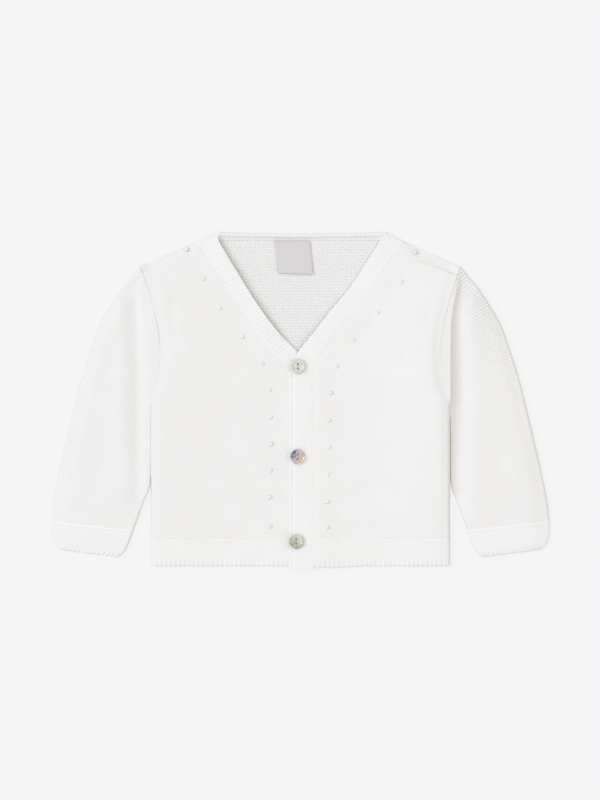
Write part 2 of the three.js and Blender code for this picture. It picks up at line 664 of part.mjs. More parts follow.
/** A two-hole shell button with a raised rim. */
function button() {
  const { radius, thick, hole, holeApart } = BUTTON;
  const profile = [
    [0, 0],
    [0.7 * radius, 0],
    [0.94 * radius, 0.22 * thick],
    [radius, 0.5 * thick],
    [0.97 * radius, 0.82 * thick],
    [0.88 * radius, thick],
    [0.74 * radius, 0.95 * thick],
    [0.6 * radius, 0.72 * thick],
    [0, 0.66 * thick],
  ].map(([r, z]) => new THREE.Vector2(r, z));
  const disc = new THREE.LatheGeometry(profile, 20).rotateX(Math.PI / 2);
  const holes = [-0.5, 0.5].map((share) =>
    new THREE.CylinderGeometry(hole, hole, 4 * thick, 10)
      .rotateX(Math.PI / 2)
      .translate(0, share * holeApart, 0)
  );
  const positions = [...disc.getAttribute("position").array];
  const whole = toManifold(facingOut(positions, [...disc.getIndex().array]));
  return toGeometry(holes.reduce((solid, one) => solid.subtract(toManifold(one)), whole));
}

/** The folded fabric label inside the back of the neck, its face left bare. */
function label() {
  const { thick, topY, bottomY, topX, bottomX, width } = LABEL;
  const ends = 0.35;
  const rows = evenSteps(5).map((v) =>
    evenSteps(4).map((u) => {
      const place = [mix(bottomX, topX, v) + u * width, mix(bottomY, topY, v) - 0.8 * u * (1 - v)];
      const lift = 0.5 * Math.sin(Math.PI * u) * (1 - v) + (v === 1 ? ends : 0);
      return [[...place, KNIT + GAP + thick + lift], [...place, KNIT + GAP + lift]];
    })
  );
  return wallOf(rows);
}

const cardigan = new THREE.Group();

function add(name, geometry, look, place = [0, 0, 0]) {
  geometry.computeVertexNormals();
  const mesh = new THREE.Mesh(geometry, new THREE.MeshStandardMaterial(look));
  mesh.name = name;
  mesh.position.set(...place);
  cardigan.add(mesh);
}

add("back", back(), KNIT_LOOK);
add("hem_back", hemBack(), KNIT_LOOK);
add("neckband_back", neckband(), KNIT_LOOK);
add("label", label(), LABEL_LOOK);
for (const side of ["right", "left"]) {
  add(`front_${side}`, front(side), KNIT_LOOK);
  add(`hem_front_${side}`, hemFront(side), KNIT_LOOK);
  add(`sleeve_${side}`, sleeve(side), KNIT_LOOK);
  add(`cuff_${side}`, cuff(side), KNIT_LOOK);
  add(`band_${side}`, band(side), KNIT_LOOK);
}
const buttonSeat = 2 * LAYER + KNIT + GAP;
for (const { name, x, y } of BUTTONS) {
  add(name, button(), SHELL_LOOK, [x, y, buttonSeat]);
}

export default cardigan;
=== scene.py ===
import math

import bpy
import numpy as np
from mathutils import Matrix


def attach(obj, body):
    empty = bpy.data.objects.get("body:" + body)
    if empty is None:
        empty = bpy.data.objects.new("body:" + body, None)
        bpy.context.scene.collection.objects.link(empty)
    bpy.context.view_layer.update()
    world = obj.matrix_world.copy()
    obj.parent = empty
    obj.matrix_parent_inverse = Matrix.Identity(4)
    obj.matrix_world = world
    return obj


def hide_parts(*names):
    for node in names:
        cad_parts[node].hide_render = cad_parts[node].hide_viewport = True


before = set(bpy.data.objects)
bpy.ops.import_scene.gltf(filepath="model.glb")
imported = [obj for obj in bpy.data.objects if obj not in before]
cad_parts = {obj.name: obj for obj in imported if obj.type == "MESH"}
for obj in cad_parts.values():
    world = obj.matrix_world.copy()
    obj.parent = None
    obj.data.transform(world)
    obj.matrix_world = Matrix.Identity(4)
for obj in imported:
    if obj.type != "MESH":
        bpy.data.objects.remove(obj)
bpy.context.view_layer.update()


# Table, camera and light
# The garment lies flat on a pale table and is seen from straight above. A wide cool window stands at
# the upper left, and warm lamps behind a white cloth overhead fill the rest.
VIEW_HEIGHT = 2.2  # metres from the garment to the lens
VIEW_CENTRE = (-0.000375, 0.00056)
FRAME_LENGTH = 0.6  # metres of table along the picture's long side
CLOTH_LEVEL = 0.004  # where the framing is measured
TABLE_DROP = 0.0003  # the table's face under the garment's underside
WINDOW_RISE = math.radians(45)
WINDOW_TURN = math.radians(164)  # from +X, so from the upper left

camera = bpy.data.objects.new("camera", bpy.data.cameras.new("camera"))
camera.data.sensor_width = 36
camera.data.lens = 36 * VIEW_HEIGHT / FRAME_LENGTH
camera.data.clip_end = 20
camera.location = (*VIEW_CENTRE, CLOTH_LEVEL + VIEW_HEIGHT)
bpy.context.scene.collection.objects.link(camera)
bpy.context.scene.camera = camera
bpy.context.scene.view_settings.view_transform = "Standard"

window = bpy.data.objects.new("window", bpy.data.lights.new("window", "SUN"))
window.data.energy = 0.97
window.data.angle = math.radians(36)
window.data.color = (0.68, 0.77, 1.0)
window.rotation_euler = (0, math.pi / 2 - WINDOW_RISE, WINDOW_TURN)
bpy.context.scene.collection.objects.link(window)

room = bpy.data.worlds.new("room")
room.use_nodes = True
overhead = room.node_tree
towards = overhead.nodes.new("ShaderNodeTexCoord")
upwards = overhead.nodes.new("ShaderNodeSeparateXYZ")
brighter = overhead.nodes.new("ShaderNodeMath")
brighter.operation = "MULTIPLY_ADD"
brighter.inputs[1].default_value = 0.875
brighter.inputs[2].default_value = 0.311
overhead.links.new(towards.outputs["Generated"], upwards.inputs[0])
overhead.links.new(upwards.outputs["Z"], brighter.inputs[0])
overhead.links.new(brighter.outputs[0], overhead.nodes["Background"].inputs["Strength"])
overhead.nodes["Background"].inputs["Color"].default_value = (1.0, 0.977, 0.918, 1)
bpy.context.scene.world = room

table_paint = bpy.data.materials.new("table_paint")
table_paint.use_nodes = True
paint = table_paint.node_tree.nodes["Principled BSDF"]
paint.inputs["Base Color"].default_value = (0.14, 0.14, 0.14, 1)
paint.inputs["Roughness"].default_value = 1.0
paint.inputs["Specular IOR Level"].default_value = 0.0
paint.inputs["Emission Color"].default_value = (1, 1, 1, 1)
paint.inputs["Emission Strength"].default_value = 0.768
table_mesh = bpy.data.meshes.new("table")
table_mesh.from_pydata(
    [(-4, -4, -TABLE_DROP), (4, -4, -TABLE_DROP), (4, 4, -TABLE_DROP),
     (-4, 4, -TABLE_DROP)], [], [(0, 1, 2, 3)]
)
table_mesh.materials.append(table_paint)
table = bpy.data.objects.new("table", table_mesh)
bpy.context.scene.collection.objects.link(table)


# Back panel
# One piece of fine wool in ridged purl knit, its shoulders folded forward as far as the shoulder
# seams. The garment rests on it. Shapes here are in millimetres, and the mesh is made in metres.
GAP = 0.3  # between two pieces, one lying on another
SEWN = 0.012  # between two pieces where a seam holds them together
KNIT = 2.0  # thickness of the body knit
LAYER = KNIT + GAP
SIDE_ROLL = {"right": 2.0, "left": 2.6}  # how far in from the side each front rolls over
BACK_ROLL = 2.0  # the same, under the back
ROLL_REACH = 9.0  # how far in the two faces of the wall are out of step
SIDE_X = 112.4
HEM_TOP = -104.7
HEM_BOTTOM = -124.2
HEM_CORNER = 2.2
UNDERARM_Y = 1.5
TIP_X, TIP_Y = 120.0, 101.0
ARM_BOW = 10.2
FOLD_X, FOLD_Y, FOLD_FALL = 62.5, 126.3, 0.444
FOLD_LENGTH = math.hypot(1, FOLD_FALL)
BACK_NECK = 120.7
SHOULDER = {"right": (75.4, 113.1, 0.4), "left": (73.1, 110.8, 0.393)}  # seam: x, y and fall
RIDGE = 2.2  # from one purl ridge to the next
RIDGE_HEIGHT = 0.11
STITCH = 2.0  # width of one stitch
ROW_STEP = RIDGE / 6  # rows of the mesh, six to a ridge
WOOL = (0.845, 0.841, 0.842, 1)
WOOL_PLAIN_PAINTED_LIGHT = (0.861, 0.858, 0.861, 1)  # the plain knit of the bands and hems, the same wool painted lighter because fewer furrows shade it
# Painted shade for the knit's furrows, also the warmer tone of felted patches.
WOOL_PAINTED_SHADE_AND_FELT = (0.800, 0.780, 0.752, 1)
WOOL_PAINTED_HIGHLIGHT = (0.90, 0.895, 0.89, 1)  # painted highlight along one ridge row, where it catches the light
STRIP_ROWS = 100  # the shoulders' rows are counted from here, and their stitches are pressed flat
SIDES = {"right": -1, "left": 1}  # the wearer's right and left, and their sign in x


def smooth(start, end, value):
    """0 below start and 1 above end, and between them 3t^2 - 2t^3."""
    t = np.clip((value - start) / (end - start), 0, 1)
    return t * t * (3 - 2 * t)


def mix(a, b, t):
    """a where t is 0, b where it is 1, on a straight line between."""
    return a + (b - a) * t


def rolled(t):
    """A quarter of an ellipse: 0 at the edge and 1 from t = 1 on."""
    left = 1 - np.clip(t, 0, 1)
    return np.sqrt(1 - left * left)


def rows_at(stations, column, value):
    """The table's columns at a value of one of them: cubic curves through the rows, each with the
    slope of the line between its two neighbours."""
    value = np.asarray(value, float)
    flat = value.ravel()
    key = stations[:, column]
    i = np.clip(np.searchsorted(key, flat, side="left") - 1, 0, len(key) - 2)
    a, b, c, d = (stations[np.clip(i + k, 0, len(key) - 1)] for k in (-1, 0, 1, 2))
    p, q, r, s = (row[:, column] for row in (a, b, c, d))
    t = np.clip((flat - q) / (r - q), 0, 1)[:, None]
    start = (c - a) * ((r - q) / (r - p))[:, None]
    end = (d - b) * ((r - q) / (s - q))[:, None]
    found = (
        (2 * t**3 - 3 * t**2 + 1) * b
        + (t**3 - 2 * t**2 + t) * start
        + (3 * t**2 - 2 * t**3) * c
        + (t**3 - t**2) * end
    )
    return found.reshape(*value.shape, stations.shape[1])


def edge_x(y):
    """Half the body's width at a height: the side with the hem's rounded corner, and above the
    underarm a straight line to the shoulder, less a bow of sin(pi s^0.8)."""
    s = np.clip((y - UNDERARM_Y) / (TIP_Y - UNDERARM_Y), 0, 1)
    corner = HEM_CORNER * (1 - rolled((y - HEM_BOTTOM) / HEM_CORNER))
    armhole = mix(SIDE_X, TIP_X, s) - ARM_BOW * np.sin(np.pi * s**0.8)
    return np.where(s > 0, armhole, SIDE_X - corner)


def rolls_over(y):
    """1 where the cloth rolls round the body's side, fading to 0 along the armhole."""
    return 1 - smooth(-9, 2.5, y)


def inner_distance(from_edge, roll):
    """How far in the wall's inner point lies where its outer point lies from_edge in."""
    return from_edge + KNIT * roll * (1 - np.clip(from_edge / ROLL_REACH, 0, 1))


def fold_y(x):
    """Height of the shoulder's fold at a distance from the middle: a straight fall outwards."""
    return FOLD_Y - FOLD_FALL * (np.abs(x) - FOLD_X)


def strip_depth(side, along):
    """How far the back comes forward over the shoulder, square to the fold, to end on the seam."""
    fall = SHOULDER[side][2]
    return (fold_y(along) - shoulder_seam_y(side, along)) * FOLD_LENGTH / (1 + fall * FOLD_FALL)


def shoulder_seam_y(side, x):
    """Height of the shoulder seam: a straight fall outwards."""
    at_x, at_y, fall = SHOULDER[side]
    return at_y - fall * (np.abs(x) - at_x)


def ridges(phase):
    """Purl ridges, 0 in the furrow and 1 on the ridge: half a cosine wave, a little rounder on top."""
    return (0.5 - 0.5 * np.cos(2 * np.pi * phase)) ** 0.85


def drift(x, y, seed, size=34.0, height=0.2):
    """Slow unevenness of hand-laid cloth: five sine waves, their directions, lengths and starts
    drawn from a seeded generator."""
    draw = np.random.default_rng(seed)
    turn = draw.uniform(0, np.pi, 5)
    length = size * draw.uniform(0.7, 1.6, 5)
    start = draw.uniform(0, 2 * np.pi, 5)
    wave = sum(
        np.sin(2 * np.pi * (x * math.cos(a) + y * math.sin(a)) / n + s)
        for a, n, s in zip(turn, length, start)
    )
    return height * wave / 2.2


def crease(path, width, depth, x, y):
    """A soft trough, or ridge where depth is above 0, along a path of points: depth times
    exp(-(distance / width)^2), easing out over its first and last quarter."""
    path = np.asarray(path, float)
    steps = np.diff(path, axis=0)
    lengths = np.hypot(steps[:, 0], steps[:, 1])
    starts = np.concatenate([[0], np.cumsum(lengths)])
    nearest = np.full(np.shape(x), 1e9)
    along = np.zeros(np.shape(x))
    for (px, py), (dx, dy), length, start in zip(path[:-1], steps, lengths, starts):
        t = np.clip(((x - px) * dx + (y - py) * dy) / length**2, 0, 1)
        away = np.hypot(x - px - t * dx, y - py - t * dy)
        closer = away < nearest
        nearest = np.where(closer, away, nearest)
        along = np.where(closer, start + t * length, along)
    share = along / starts[-1]
    ease = smooth(0, 0.25, share) * (1 - smooth(0.75, 1, share))
    return depth * np.exp(-((nearest / width) ** 2)) * ease


def zipped(fine, coarse):
    """Triangles between a fine row of points and a coarse one beside it: each coarse step takes a
    fan of fine steps, half from its start and half from its end, and one triangle between them."""
    each = (len(fine) - 1) // (len(coarse) - 1)
    step = np.arange(len(fine) - 1)
    tip = coarse[step // each + (step % each >= each // 2)]
    fans = np.stack([fine[:-1], fine[1:], tip], 1)
    middle = fine[np.arange(len(coarse) - 1) * each + each // 2]
    return np.concatenate([fans, np.stack([middle, coarse[1:], coarse[:-1]], 1)])


def shell_faces(face, lining, ring=False):
    """Quads of both faces of a sheet and triangles round its rim. face and lining are grids of
    vertex numbers whose steps stand in a whole ratio. A ring's columns close on themselves."""
    if ring:
        face = np.concatenate([face, face[:, :1]], 1)
        lining = np.concatenate([lining, lining[:, :1]], 1)

    def quads(grid):
        return np.stack([grid[:-1, :-1], grid[:-1, 1:], grid[1:, 1:], grid[1:, :-1]], -1).reshape(-1, 4)

    rims = [zipped(face[0, ::-1], lining[0, ::-1]), zipped(face[-1], lining[-1])]
    if not ring:
        rims += [zipped(face[::-1, -1], lining[::-1, -1]), zipped(face[:, 0], lining[:, 0])]
    return np.concatenate([quads(face), quads(lining)[:, ::-1]]), np.concatenate(rims)


def cloth(name, sheets, material):
    """One object made of closed sheets. Each sheet is (face, lining, knit, ring): two grids of
    points in millimetres, and the face's place in the knit, along the row and across the rows."""
    points, places, fours, threes = [], [], [], []
    count = 0
    for face, lining, knit, ring in sheets:
        steps = [max(1, round((a - 1 + (ring and k)) / (b - 1 + (ring and k)))) for k, a, b in
                 ((0, face.shape[0], lining.shape[0]), (1, face.shape[1], lining.shape[1]))]
        face_numbers = count + np.arange(face[..., 0].size).reshape(face.shape[:2])
        count += face_numbers.size
        lining_numbers = count + np.arange(lining[..., 0].size).reshape(lining.shape[:2])
        count += lining_numbers.size
        quads, triangles = shell_faces(face_numbers, lining_numbers, ring)
        sheet_points = np.concatenate([face.reshape(-1, 3), lining.reshape(-1, 3)])
        base = face_numbers[0, 0]
        corners = np.concatenate([quads[:, [0, 1, 2]], quads[:, [0, 2, 3]], triangles]) - base
        a, b, c = (sheet_points[corners[:, k]] for k in range(3))
        if np.einsum("ij,ij->", a, np.cross(b, c)) < 0:
            quads, triangles = quads[:, ::-1], triangles[:, ::-1]
        points.append(sheet_points)
        places.append(np.concatenate([knit.reshape(-1, 2), knit[:: steps[0], :: steps[1]].reshape(-1, 2)]))
        fours.append(quads)
        threes.append(triangles)
    points, places = np.concatenate(points), np.concatenate(places)
    fours, threes = np.concatenate(fours), np.concatenate(threes)
    loops = np.concatenate([fours.ravel(), threes.ravel()])
    mesh = bpy.data.meshes.new(name)
    mesh.vertices.add(len(points))
    mesh.vertices.foreach_set("co", (points * 0.001).ravel())
    mesh.loops.add(len(loops))
    mesh.loops.foreach_set("vertex_index", loops)
    mesh.polygons.add(len(fours) + len(threes))
    mesh.polygons.foreach_set(
        "loop_start",
        np.concatenate([np.arange(len(fours)) * 4, len(fours) * 4 + np.arange(len(threes)) * 3]),
    )
    mesh.polygons.foreach_set("use_smooth", np.ones(len(fours) + len(threes), bool))
    mesh.uv_layers.new(name="knit").data.foreach_set("uv", places[loops].ravel())
    mesh.update(calc_edges=True)
    mesh.set_sharp_from_angle(angle=math.radians(60))
    mesh.materials.append(material)
    piece = bpy.data.objects.new(name, mesh)
    bpy.context.scene.collection.objects.link(piece)
    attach(piece, "root")
    return piece


def new_group(name, inputs, outputs):
    """An empty shader node group with named inputs (name, kind, value) and outputs (name, kind)."""
    group = bpy.data.node_groups.new(name, "ShaderNodeTree")
    for label, kind, value in inputs:
        socket = group.interface.new_socket(label, in_out="INPUT", socket_type=kind)
        if value is not None:
            socket.default_value = value
    for label, kind in outputs:
        group.interface.new_socket(label, in_out="OUTPUT", socket_type=kind)
    return group, group.nodes.new("NodeGroupInput"), group.nodes.new("NodeGroupOutput")


def node(tree, kind, inputs=(), **settings):
    """Adds a node: its settings by name, and its inputs as (name or number, value or output)."""
    made = tree.nodes.new(kind)
    for key, value in settings.items():
        setattr(made, key, value)
    for key, value in inputs:
        if isinstance(value, bpy.types.NodeSocket):
            tree.links.new(value, made.inputs[key])
        else:
            made.inputs[key].default_value = value
    return made


def maths(tree, operation, *values):
    """The output of a Math node on one, two or three values."""
    return node(tree, "ShaderNodeMath", list(enumerate(values)), operation=operation).outputs[0]


# Purl stitches: the knit's own place runs in millimetres along the row and counts ridges across it.
# Every ridge is a line of round loops, and those of the next ridge stand half a stitch along. Loops
# is how far the loops break up the ridge.
purl_stitches, g_in, g_out = new_group(
    "purl_stitches",
    [("Knit", "NodeSocketVector", None), ("Stitch Width", "NodeSocketFloat", STITCH),
     ("Unevenness", "NodeSocketFloat", 0.35), ("Loops", "NodeSocketFloat", 0.28)],
    [("Height", "NodeSocketFloat"), ("Furrow", "NodeSocketFloat")],
)
wobble = node(purl_stitches, "ShaderNodeTexNoise", [("Vector", g_in.outputs["Knit"]), ("Scale", 0.55),
                                                    ("Detail", 1.0)])
apart = node(purl_stitches, "ShaderNodeSeparateXYZ", [(0, g_in.outputs["Knit"])])
shift = maths(purl_stitches, "MULTIPLY", maths(purl_stitches, "SUBTRACT", wobble.outputs["Fac"], 0.5),
              g_in.outputs["Unevenness"])
row = maths(purl_stitches, "ADD", apart.outputs["Y"], shift)
half = maths(purl_stitches, "MULTIPLY", maths(purl_stitches, "FLOOR", row), 0.5)
place = maths(purl_stitches, "ADD", maths(purl_stitches, "DIVIDE", apart.outputs["X"],
                                          g_in.outputs["Stitch Width"]),
              maths(purl_stitches, "ADD", half, maths(purl_stitches, "MULTIPLY", shift, 1.6)))
across = maths(purl_stitches, "COSINE", maths(purl_stitches, "MULTIPLY", row, 2 * math.pi))
along = maths(purl_stitches, "COSINE", maths(purl_stitches, "MULTIPLY", place, 2 * math.pi))
hump = maths(purl_stitches, "MULTIPLY_ADD", across, -0.5, 0.5)
broken = maths(purl_stitches, "MULTIPLY", maths(purl_stitches, "SUBTRACT", along, 1.0), g_in.outputs["Loops"])
loop = maths(purl_stitches, "MULTIPLY", hump, maths(purl_stitches, "ADD", broken, 1.0))
purl_stitches.links.new(loop, g_out.inputs["Height"])
purl_stitches.links.new(maths(purl_stitches, "SUBTRACT", 1.0, maths(purl_stitches, "MAXIMUM", hump, loop)),
                        g_out.inputs["Furrow"])

# Wool fibre: the twist of the yarn's plies and the fine haze of loose fibre over it, with slow
# patches where the cloth has felted a little more.
wool_fibre, g_in, g_out = new_group(
    "wool_fibre",
    [("Place", "NodeSocketVector", None), ("Fibres", "NodeSocketFloat", 1900.0),
     ("Patches", "NodeSocketFloat", 55.0)],
    [("Height", "NodeSocketFloat"), ("Haze", "NodeSocketFloat"), ("Patch", "NodeSocketFloat")],
)
hairs = node(wool_fibre, "ShaderNodeTexNoise", [("Vector", g_in.outputs["Place"]),
                                                ("Scale", g_in.outputs["Fibres"]),
                                                ("Detail", 3.0), ("Roughness", 0.65), ("Distortion", 0.8)])
patches = node(wool_fibre, "ShaderNodeTexNoise", [("Vector", g_in.outputs["Place"]),
                                                  ("Scale", g_in.outputs["Patches"]), ("Detail", 2.0)])
haze = node(wool_fibre, "ShaderNodeMapRange", [("Value", hairs.outputs["Fac"]), ("From Min", 0.35),
                                               ("From Max", 0.7)])
wool_fibre.links.new(hairs.outputs["Fac"], g_out.inputs["Height"])
wool_fibre.links.new(haze.outputs["Result"], g_out.inputs["Haze"])
wool_fibre.links.new(patches.outputs["Fac"], g_out.inputs["Patch"])


def knit_wool(name, stitch_width=STITCH, loft=0.08, fuzz=0.04, furrow_shade=0.4, loops=0.28, fades=(),
              painted_highlight_row=None,
              wool=WOOL):
    """Soft white wool: the stitches and fibres as a bump, painted shade in the furrows, and thin felted
    patches a little warmer and darker.
    Each fade (X or Y, from, to, share) sinks the stitches to a share of their height between two places in
    the knit, and one row may carry a painted highlight."""
    material = bpy.data.materials.new(name)
    material.use_nodes = True
    tree = material.node_tree
    bsdf = tree.nodes["Principled BSDF"]
    knit_place = node(tree, "ShaderNodeUVMap", uv_map="knit")
    room_place = node(tree, "ShaderNodeTexCoord")
    stitches = node(tree, "ShaderNodeGroup", node_tree=purl_stitches)
    tree.links.new(knit_place.outputs["UV"], stitches.inputs["Knit"])
    stitches.inputs["Stitch Width"].default_value = stitch_width
    stitches.inputs["Loops"].default_value = loops
    count = node(tree, "ShaderNodeSeparateXYZ", [(0, knit_place.outputs["UV"])])
    fibre = node(tree, "ShaderNodeGroup", node_tree=wool_fibre)
    tree.links.new(room_place.outputs["Object"], fibre.inputs["Place"])
    stitch_height = maths(tree, "MULTIPLY", stitches.outputs["Height"], loft)
    for way, near, far, share in fades:
        sink = node(tree, "ShaderNodeMapRange", [("Value", count.outputs[way]), ("From Min", near),
                                                 ("From Max", far),
                                                 ("To Min", 1.0), ("To Max", share)])
        stitch_height = maths(tree, "MULTIPLY", stitch_height, sink.outputs["Result"])
    height = maths(tree, "ADD", stitch_height, maths(tree, "MULTIPLY", fibre.outputs["Height"], fuzz))
    bump = node(tree, "ShaderNodeBump", [("Strength", 1.0), ("Distance", 0.001), ("Height", height)])
    tree.links.new(bump.outputs["Normal"], bsdf.inputs["Normal"])
    # Painted shade darkens the furrows between stitches, and the felted patches add a random warmer tone.
    painted_shade_and_felt = maths(tree, "MULTIPLY_ADD", stitches.outputs["Furrow"], furrow_shade,
                  maths(tree, "MULTIPLY_ADD", fibre.outputs["Patch"], 0.5, -0.2))
    colour = node(tree, "ShaderNodeMix", [(0, painted_shade_and_felt), (6, wool), (7, WOOL_PAINTED_SHADE_AND_FELT)], data_type="RGBA")
    # Painted highlight along one row of the knit.
    if painted_highlight_row:
        off = maths(tree, "ABSOLUTE", maths(tree, "SUBTRACT", count.outputs["Y"], painted_highlight_row))
        on_row = node(tree, "ShaderNodeMapRange", [("Value", off), ("From Min", 0.1), ("From Max", 0.5),
                                                   ("To Min", 1.0), ("To Max", 0.0)])
        colour = node(tree, "ShaderNodeMix", [(0, on_row.outputs["Result"]), (6, colour.outputs[2]),
                                              (7, WOOL_PAINTED_HIGHLIGHT)], data_type="RGBA")
    tree.links.new(colour.outputs[2], bsdf.inputs["Base Color"])
    rough = node(tree, "ShaderNodeMapRange", [("Value", fibre.outputs["Haze"]), ("To Min", 0.82),
                                              ("To Max", 1.0)])
    tree.links.new(rough.outputs["Result"], bsdf.inputs["Roughness"])
    bsdf.inputs["Specular IOR Level"].default_value = 0.15
    bsdf.inputs["Sheen Weight"].default_value = 0.12
    bsdf.inputs["Sheen Roughness"].default_value = 0.5
    return material


def back_wall(x_share, y):
    """The back's inside and underside. x is a share of the body's half width. The underside lies
    flat and rolls up over the last BACK_ROLL at the side; the inside is KNIT above it."""
    edge = edge_x(y)
    roll = rolls_over(y)
    x = x_share * (edge - SEWN * (1 - roll))
    from_edge = np.maximum(0, edge - np.abs(x))
    under_z = KNIT * roll * (1 - rolled(from_edge / BACK_ROLL))
    inside_x = np.sign(x) * np.maximum(0, edge - inner_distance(from_edge, roll))
    return x, inside_x, under_z


def shoulder_strip(side):
    """The shoulder folded forward: from under the back, round the fold on a half circle, and flat
    to the shoulder seam, carried along the fold out to the armhole. Where each row across it meets
    the armhole is found in eight rounds, and its last millimetre rolls down into the seam."""
    s = SIDES[side]
    middle = LAYER / 2 + KNIT / 2
    seam_x = 74.6 if side == "right" else 72.4
    start = seam_x + strip_depth(side, seam_x + 3) * FOLD_FALL / FOLD_LENGTH + SEWN
    columns = np.linspace(0, 1, 81)[:, None]
    flat = np.linspace(5.0, middle, 5)[:-1]
    bend = np.linspace(-90, 90, 25)
    sheets = []
    for radius in (middle, GAP / 2):
        top = np.linspace(0, 1, 21)[1:]
        along = mix(start, TIP_X - 0.4, columns) * np.ones(49)
        for _ in range(8):
            depths = np.concatenate([
                np.broadcast_to(flat, (81, 4)), np.broadcast_to(middle - radius * np.cos(np.radians(bend)),
                                                                (81, 25)),
                mix(middle, strip_depth(side, along[:, 29:]) - SEWN / 2, top)], 1)
            edge = edge_x(fold_y(along[-1]) - depths[-1] / FOLD_LENGTH) - SEWN
            along = mix(start, edge + depths[-1] * FOLD_FALL / FOLD_LENGTH, columns)
        last = smooth(0.85, 1, top) * (0.08 if radius == middle else 0)
        level = [np.full((81, 4), middle - radius),
                 np.broadcast_to(middle + radius * np.sin(np.radians(bend)), (81, 25)),
                 np.broadcast_to(middle + radius - last, (81, 20))]
        z = np.concatenate(level, 1)
        if radius == middle:
            droop = 1.6 * smooth(0, 0.25, columns) * (1 - smooth(0.85, 1, columns))
            z = z - droop * (1 - smooth(middle, middle + 9, depths)) * np.clip((z - middle) / radius, 0, 1)
        y = fold_y(along) - depths / FOLD_LENGTH
        x = along - depths * FOLD_FALL / FOLD_LENGTH
        if radius == middle:
            row = (y + 2 * z) / RIDGE
            z = z + RIDGE_HEIGHT * (ridges(row) - 0.7) * smooth(0.2, 1.2, z)
            knit = np.stack([x, row + STRIP_ROWS], -1)
        sheets.append(np.stack([s * x, y, z], -1))
    return sheets[0], sheets[1][::4, ::4], knit, False


back_wool = knit_wool("back_wool", loft=0.32, furrow_shade=0.35, loops=0.65, fades=[("Y", 90.0, 130.0, 0.12)])
y_places = np.concatenate([np.arange(HEM_TOP + SEWN, 22, 2.2), np.arange(22, BACK_NECK, ROW_STEP)])
y_places = y_places[: len(y_places) - (len(y_places) - 1) % 4]
rise = (y_places - y_places[0]) / (y_places[-1] - y_places[0])
outside = np.sin(np.linspace(0, np.pi / 2, 17))[1:]
x_shares = np.concatenate([-mix(0.62, 1, outside)[::-1], np.linspace(-0.62, 0.62, 89), mix(0.62, 1, outside)])
share_grid, rise_grid = np.meshgrid(x_shares, rise)
column_top = np.minimum(BACK_NECK, fold_y(share_grid * TIP_X) - 2.0)
y = mix(HEM_TOP + SEWN, column_top, rise_grid)
x, inside_x, under_z = back_wall(share_grid, y)
in_the_neck = smooth(20, 34, y) * (1 - smooth(66, 74, np.abs(x)))
inside_z = KNIT + (RIDGE_HEIGHT * (ridges(y / RIDGE) - 0.8)) * in_the_neck
inside_z += drift(x, y, 5, 40, 0.10) * in_the_neck * smooth(0, 12, 120 - y)
inside_z = np.where(np.abs(share_grid) > 0.999, KNIT, inside_z)
inside = np.stack([inside_x, y, inside_z], -1)
under = np.stack([x, y, under_z], -1)[::4, ::4]
back_knit = np.stack([x, y / RIDGE], -1)
back = cloth("back_panel", [(inside, under, back_knit, False), shoulder_strip("right"),
                            shoulder_strip("left")],
             back_wool)
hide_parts("back")


# Back hem
# The lower edge of the back in the same wool: a purl ridge where it is picked up, a plain band,
# and short ribs at the very edge.
HEM_RIDGE = 0.34
EDGE_RIB = 3.5  # pitch of the short ribs
EDGE_RIB_HEIGHT = 0.66
EDGE_RIB_REACH = 5.5


def hem_relief(from_edge, from_seam, along, bold=1.0):
    """Height over the plain band: the purl ridge beside the seam with a furrow after it, and the
    short ribs, cosines along the hem, that swell over their reach and roll off at the edge. bold
    makes the ribs stand higher."""
    ridge = HEM_RIDGE * np.exp(-(((from_seam - 0.5) / 0.6) ** 2))
    ridge = ridge - 0.08 * np.exp(-(((from_seam - 2.4) / 0.9) ** 2))
    swell = smooth(0, 1.6, EDGE_RIB_REACH - from_edge)
    strength = 0.7 + 0.3 * np.sin(along / 9.0 + 1.0) * np.sin(along / 23.0)
    teeth = (0.5 + 0.5 * np.cos(2 * np.pi * along / EDGE_RIB + 0.5 * np.sin(along / 7.0))) ** 1.3
    roll = 1.2 * (1 - rolled(from_edge / 2.3))
    return ridge + swell * bold * (EDGE_RIB_HEIGHT * teeth * strength - 0.22) - roll


# Painted light: a lighter tone for the plain knit, and a painted highlight on the ridge row just below the
# seam.
rib_wool = knit_wool("rib_wool", stitch_width=1.7, loft=0.06, fuzz=0.04, furrow_shade=0.25, painted_highlight_row=0.2,
                     wool=WOOL_PLAIN_PAINTED_LIGHT)
across = mix(-1, 1, 0.5 - 0.5 * np.cos(np.pi * np.linspace(0, 1, 97)))
down = np.linspace(0, 1, 41)
share_grid, down_grid = np.meshgrid(across, down)
y = mix(HEM_TOP, HEM_BOTTOM, down_grid)
x, inside_x, under_z = back_wall(share_grid, y)
inside = np.stack([inside_x, y, np.full_like(x, KNIT)], -1)
under = np.stack([x, y, under_z], -1)[::4, ::4]
hem_back = cloth("back_hem", [(inside, under, np.stack([x, (HEM_TOP - y) / 1.7], -1), False)], rib_wool)
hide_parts("hem_back")


